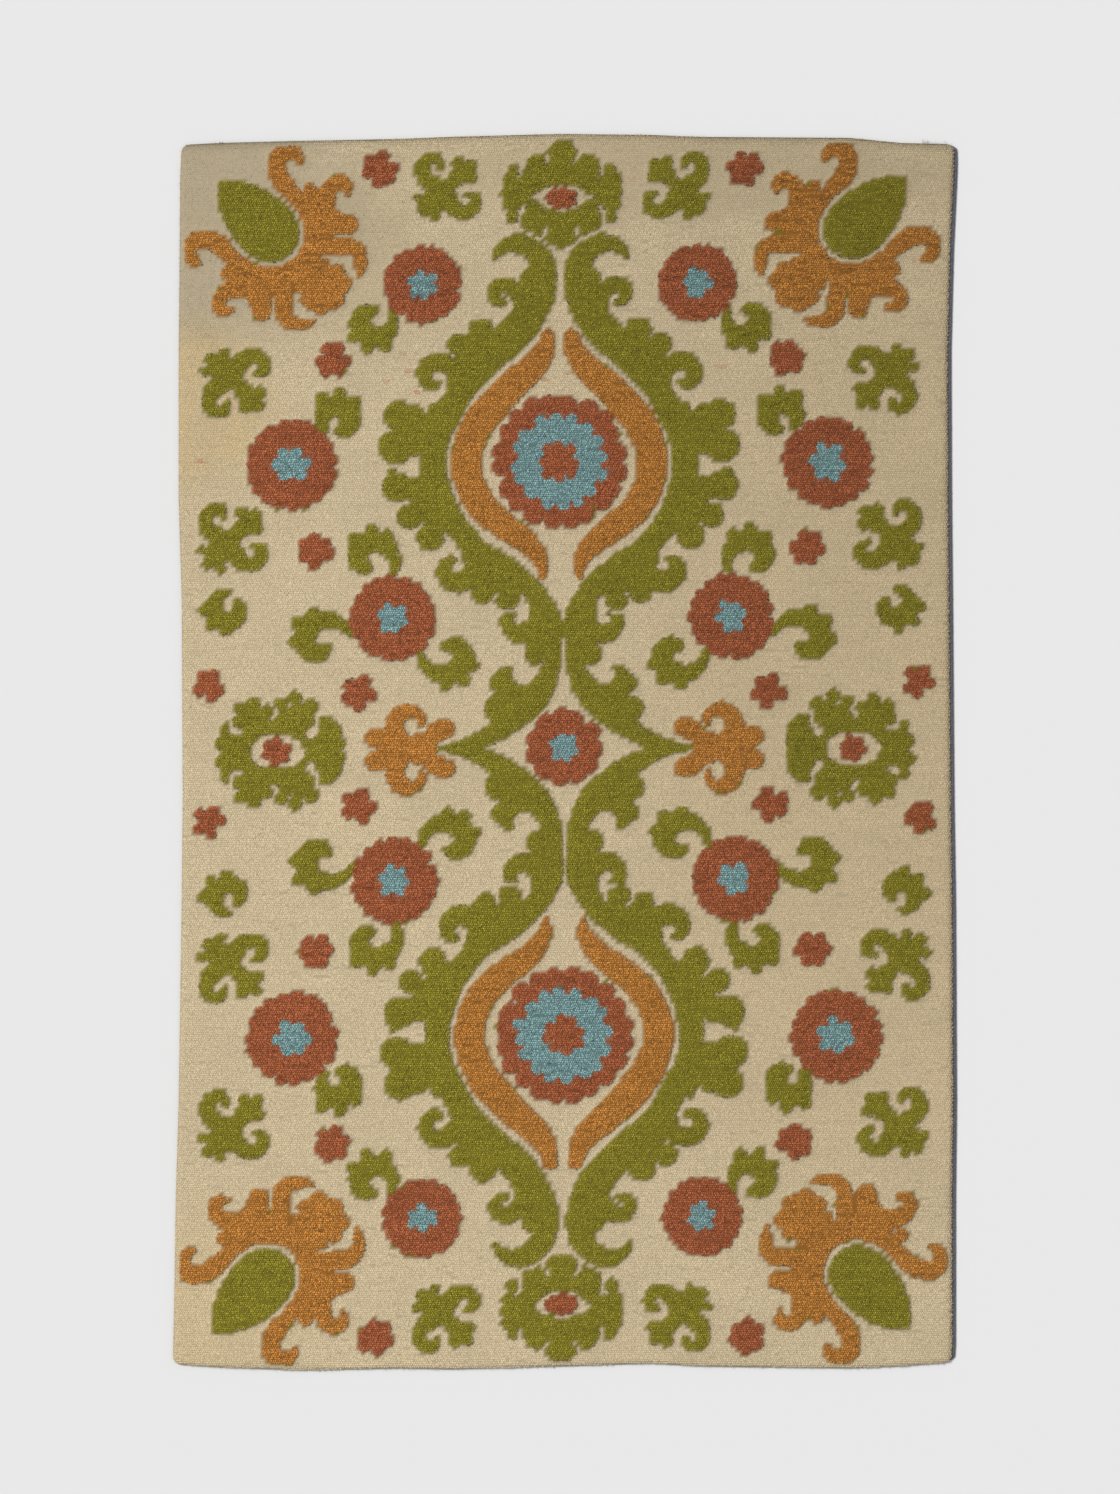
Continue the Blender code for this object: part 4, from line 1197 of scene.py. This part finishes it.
level = calculate(nap_and_painted_light, "ADD", 1.0, calculate(nap_and_painted_light, "ADD", broad, streaks))
level = calculate(nap_and_painted_light, "MULTIPLY", calculate(nap_and_painted_light, "MULTIPLY", calculate(nap_and_painted_light, "SUBTRACT", 1.0, to_right), to_top), level)
grey = add_node(nap_and_painted_light, "ShaderNodeCombineColor")
for channel in range(3):
    feed(nap_and_painted_light, grey.inputs[channel], level)
feed(nap_and_painted_light, result["Colour"], blended(nap_and_painted_light, 1.0, given["Colour"], grey.outputs[0], "MULTIPLY"))
print("nap made")

# %% [markdown]
# ## Wool
#
# Each dye's material starts from its colour, made darker or lighter by the tuft's own number. Towards the
# root less light arrives between the strands, so the colour is darkened there as painted shade, most of all in a
# crack. Wool scatters light back along its fibres, which the sheen gives, and it has next to no gloss.


# %% Wool materials
def aged_and_shaded_ground(tree, colour):
    """The ground's grey corner of painted shade, yellowed side, ends darkened with painted shade, and stray specks laid
    over its colour.
    """
    for middle, reach, ragged, tint, strength in GROUND_MARKS:
        mask = use_group(tree, soft_patch, Middle=(*middle, 0.01), Reach=(*reach, 1.0), Ragged=ragged)["Mask"]
        colour = blended(tree, calculate(tree, "MULTIPLY", mask, strength), colour, (*linear(tint), 1), "MULTIPLY")
    stain = add_node(tree, "ShaderNodeAttribute", attribute_name="stain").outputs["Fac"]
    return blended(tree, stain, colour, (*linear(SPECK_COLOUR), 1))


def new_wool(name, colour, spread, root_shade, sheen, marks=False):
    """A wool material: its colour spread to dark and light by the tuft's shade, darkened towards the root as painted
    shade.
    """
    material = bpy.data.materials.new(name)
    material.use_nodes = True
    tree = material.node_tree
    shader = tree.nodes["Principled BSDF"]
    strand = add_node(tree, "ShaderNodeAttribute", attribute_name="shade").outputs["Fac"]
    tip = add_node(tree, "ShaderNodeAttribute", attribute_name="tip").outputs["Fac"]
    mean = linear(colour)
    colour = blended(tree, strand, (*mean * (1 - spread), 1), (*mean * (1 + spread), 1))
    if marks:
        colour = aged_and_shaded_ground(tree, colour)
    # Painted shade: darker from the tip to the root, and darker again in cracks, at the rim and beside the ornament, as
    # the tip numbers say.
    painted_root_shade = ranged(tree, tip, -1.0, 0.75, 2.33 * root_shade - 1.33, 1.0, "LINEAR")
    painted_root_shade = calculate(tree, "MAXIMUM", painted_root_shade, 0.04)
    fibres = use_group(tree, wool_fibres, Fineness=430.0, Contrast=0.5 if marks else 1.0, Relief=0.7)
    both = calculate(tree, "MULTIPLY", painted_root_shade, fibres["Shade"])
    grey = add_node(tree, "ShaderNodeCombineColor")
    for channel in range(3):
        feed(tree, grey.inputs[channel], both)
    # Nap and painted light: the colour lighter at the left and darker to the right and top.
    colour = use_group(tree, nap_and_painted_light, Colour=colour, Mottling=0.12, Lean=0.165 if marks else 0.24)["Colour"]
    feed(tree, shader.inputs["Base Color"], blended(tree, 1.0, colour, grey.outputs[0], "MULTIPLY"))
    feed(tree, shader.inputs["Normal"], fibres["Normal"])
    feed(tree, shader.inputs["Roughness"], ranged(tree, fibres["Shade"], 0.8, 1.2, 0.98, 0.88))
    shader.inputs["Specular IOR Level"].default_value = 0.15
    shader.inputs["Sheen Weight"].default_value = sheen
    shader.inputs["Sheen Roughness"].default_value = 0.6
    return material


SPECK_COLOUR = (172, 98, 48)
GROUND_MARKS = [  # middle, reach in metres, how ragged, tint on a screen, strength
    # Painted shade: the grey corner at the top left.
    ((-0.72, 1.06), (0.34, 0.25), 0.35, (212, 216, 228), 1.0),
    ((-0.72, 0.70), (0.14, 0.17), 0.6, (255, 244, 214), 0.9),
    ((-0.40, 0.98), (0.12, 0.20), 1.0, (236, 234, 232), 0.8),
    # Painted shade: a band along the top end.
    ((0.30, 1.15), (0.60, 0.09), 1.0, (228, 226, 224), 0.8),
    ((-0.74, -1.1), (0.20, 0.20), 0.8, (255, 250, 232), 0.6),
    ((0.62, 0.0), (0.50, 1.0), 0.4, (251, 247, 241), 1.0),
]
wools = {}
for dye_name in DYES:
    root_shade, sheen = (0.76, 0.10) if dye_name == "ground" else (0.34, 0.04)
    colour, spread = DYE_COLOURS[dye_name], STRAND_SPREAD[dye_name]
    wools[dye_name] = new_wool(dye_name + " wool", colour, spread, root_shade, sheen, dye_name == "ground")
print("wools:", sorted(wools))

# %% [markdown]
# ## The bed's wool, the cloth and its threads
#
# The bed takes its dye from the numbers stored with its points, which hold painted shade, and is darkened all over
# again with painted shade, as it lies between the strands. The cloth is a plain weave: two waves, one across and
# one along, whose product rises and falls like threads that pass over and under.


# %% Bed material
def new_bed_wool():
    """Packed wool under the tips: the stored dye with its painted shade, darkened again as painted shade, through nap
    and fibres.
    """
    material = bpy.data.materials.new("packed wool")
    material.use_nodes = True
    tree = material.node_tree
    shader = tree.nodes["Principled BSDF"]
    dye = add_node(tree, "ShaderNodeAttribute", attribute_name="dye").outputs["Color"]
    fibres = use_group(tree, wool_fibres, Fineness=420.0, Contrast=0.9, Relief=0.8)
    # Painted shade: darker all over, as the bed lies between the strands.
    shade = calculate(tree, "MULTIPLY", fibres["Shade"], 0.85)
    grey = add_node(tree, "ShaderNodeCombineColor")
    for channel in range(3):
        feed(tree, grey.inputs[channel], shade)
    colour = use_group(tree, nap_and_painted_light, Colour=dye, Mottling=0.12)["Colour"]
    feed(tree, shader.inputs["Base Color"], blended(tree, 1.0, colour, grey.outputs[0], "MULTIPLY"))
    feed(tree, shader.inputs["Normal"], fibres["Normal"])
    shader.inputs["Roughness"].default_value = 0.96
    shader.inputs["Specular IOR Level"].default_value = 0.1
    return material


bed_wool = new_bed_wool()
print("bed wool made")


# %% Cloth and thread materials
def new_cloth(name, dark, light, weave):
    """Plain weave: the product of two sine waves lifts and lightens the threads."""
    material = bpy.data.materials.new(name)
    material.use_nodes = True
    tree = material.node_tree
    shader = tree.nodes["Principled BSDF"]
    place = add_node(tree, "ShaderNodeTexCoord").outputs["Object"]
    axes = add_node(tree, "ShaderNodeSeparateXYZ")
    feed(tree, axes.inputs[0], place)
    waves = [calculate(tree, "SINE", calculate(tree, "MULTIPLY", axes.outputs[k], weave)) for k in (0, 1)]
    crossing = calculate(tree, "MULTIPLY", *waves)
    lift = calculate(tree, "ADD", crossing, noise(tree, place, 260.0, 3.0))
    share = ranged(tree, lift, -0.6, 1.6, 0.0, 1.0)
    feed(tree, shader.inputs["Base Color"], blended(tree, share, (*linear(dark), 1), (*linear(light), 1)))
    bump = add_node(tree, "ShaderNodeBump")
    bump.inputs["Distance"].default_value = 0.0004
    bump.inputs["Strength"].default_value = 0.7
    feed(tree, bump.inputs["Height"], lift)
    feed(tree, shader.inputs["Normal"], bump.outputs[0])
    shader.inputs["Roughness"].default_value = 0.92
    shader.inputs["Sheen Weight"].default_value = 0.1
    return material


cloth_material = new_cloth("backing weave", (70, 72, 84), (112, 112, 122), 3900.0)
thread_material = new_cloth("cut threads", (72, 72, 84), (128, 124, 126), 2600.0)
print("cloth materials made")

# %% [markdown]
# ## Dressing the pieces
#
# Every piece gets its material. The bed takes the place of the pile's solid, and the new cloth that of the
# backing's, and both solids are hidden.

# %% Materials and hidden solids
for piece in pile_pieces:
    piece.data.materials.append(wools[piece.name.split("_")[0]])
rim_fibres.data.materials.append(wools["ground"])
pile_bed.data.materials.append(bed_wool)
backing.data.materials.append(cloth_material)
cloth_threads.data.materials.append(thread_material)
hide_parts("tufted_pile")
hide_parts("backing_cloth")
print("pieces dressed:", len(pile_pieces) + 4)

# %% [markdown]
# ## Floor, light and camera
#
# The photograph looks straight down on the rug over a plain pale ground. A wide floor takes that part. A soft
# sun from the upper left shapes the tufts with no fall-off across two and a half metres, and a pale sky fills
# the shadows. A long lens high above keeps the sides parallel.

# %% Floor
floor_mesh = bpy.data.meshes.new("floor")
floor_z = -0.0006
floor_mesh.from_pydata([(x, y, floor_z) for x, y in ((-9, -9), (9, -9), (9, 9), (-9, 9))], [], [(0, 1, 2, 3)])
floor = bpy.data.objects.new("floor", floor_mesh)
bpy.context.scene.collection.objects.link(floor)
floor_paint = bpy.data.materials.new("pale floor")
floor_paint.use_nodes = True
floor_shader = floor_paint.node_tree.nodes["Principled BSDF"]
floor_shader.inputs["Base Color"].default_value = (0.55, 0.55, 0.55, 1)
floor_shader.inputs["Roughness"].default_value = 0.9
floor_mesh.materials.append(floor_paint)

# %% Light
sun = bpy.data.objects.new("key_light", bpy.data.lights.new("key_light", "SUN"))
sun.data.energy = 3.9
sun.data.angle = np.radians(20)
sun.rotation_euler = (np.radians(-24), np.radians(-46), 0)
bpy.context.scene.collection.objects.link(sun)
sky = bpy.data.worlds.new("pale sky")
sky.use_nodes = True
sky.node_tree.nodes["Background"].inputs["Color"].default_value = (1.0, 1.0, 1.0, 1)
sky.node_tree.nodes["Background"].inputs["Strength"].default_value = 0.67
bpy.context.scene.world = sky

# %% Camera
PHOTO_SIZE = (1120, 1494)
RUG_MIDDLE_PIXEL = (565.0, 752.0)
PIXEL = 2.0 * MM
HEIGHT = 10.0
camera = bpy.data.objects.new("photo_camera", bpy.data.cameras.new("photo_camera"))
camera.data.sensor_fit = "VERTICAL"
camera.data.sensor_height = 36.0
camera.data.lens = 36.0 * (HEIGHT - 0.01) / (PHOTO_SIZE[1] * PIXEL)
camera.location = (
    PIXEL * (PHOTO_SIZE[0] / 2 - RUG_MIDDLE_PIXEL[0]),
    PIXEL * (RUG_MIDDLE_PIXEL[1] - PHOTO_SIZE[1] / 2),
    HEIGHT,
)
camera.data.clip_end = 100
bpy.context.scene.collection.objects.link(camera)
bpy.context.scene.camera = camera
bpy.context.scene.view_settings.view_transform = "Standard"
print("lens:", round(camera.data.lens, 1), "mm")
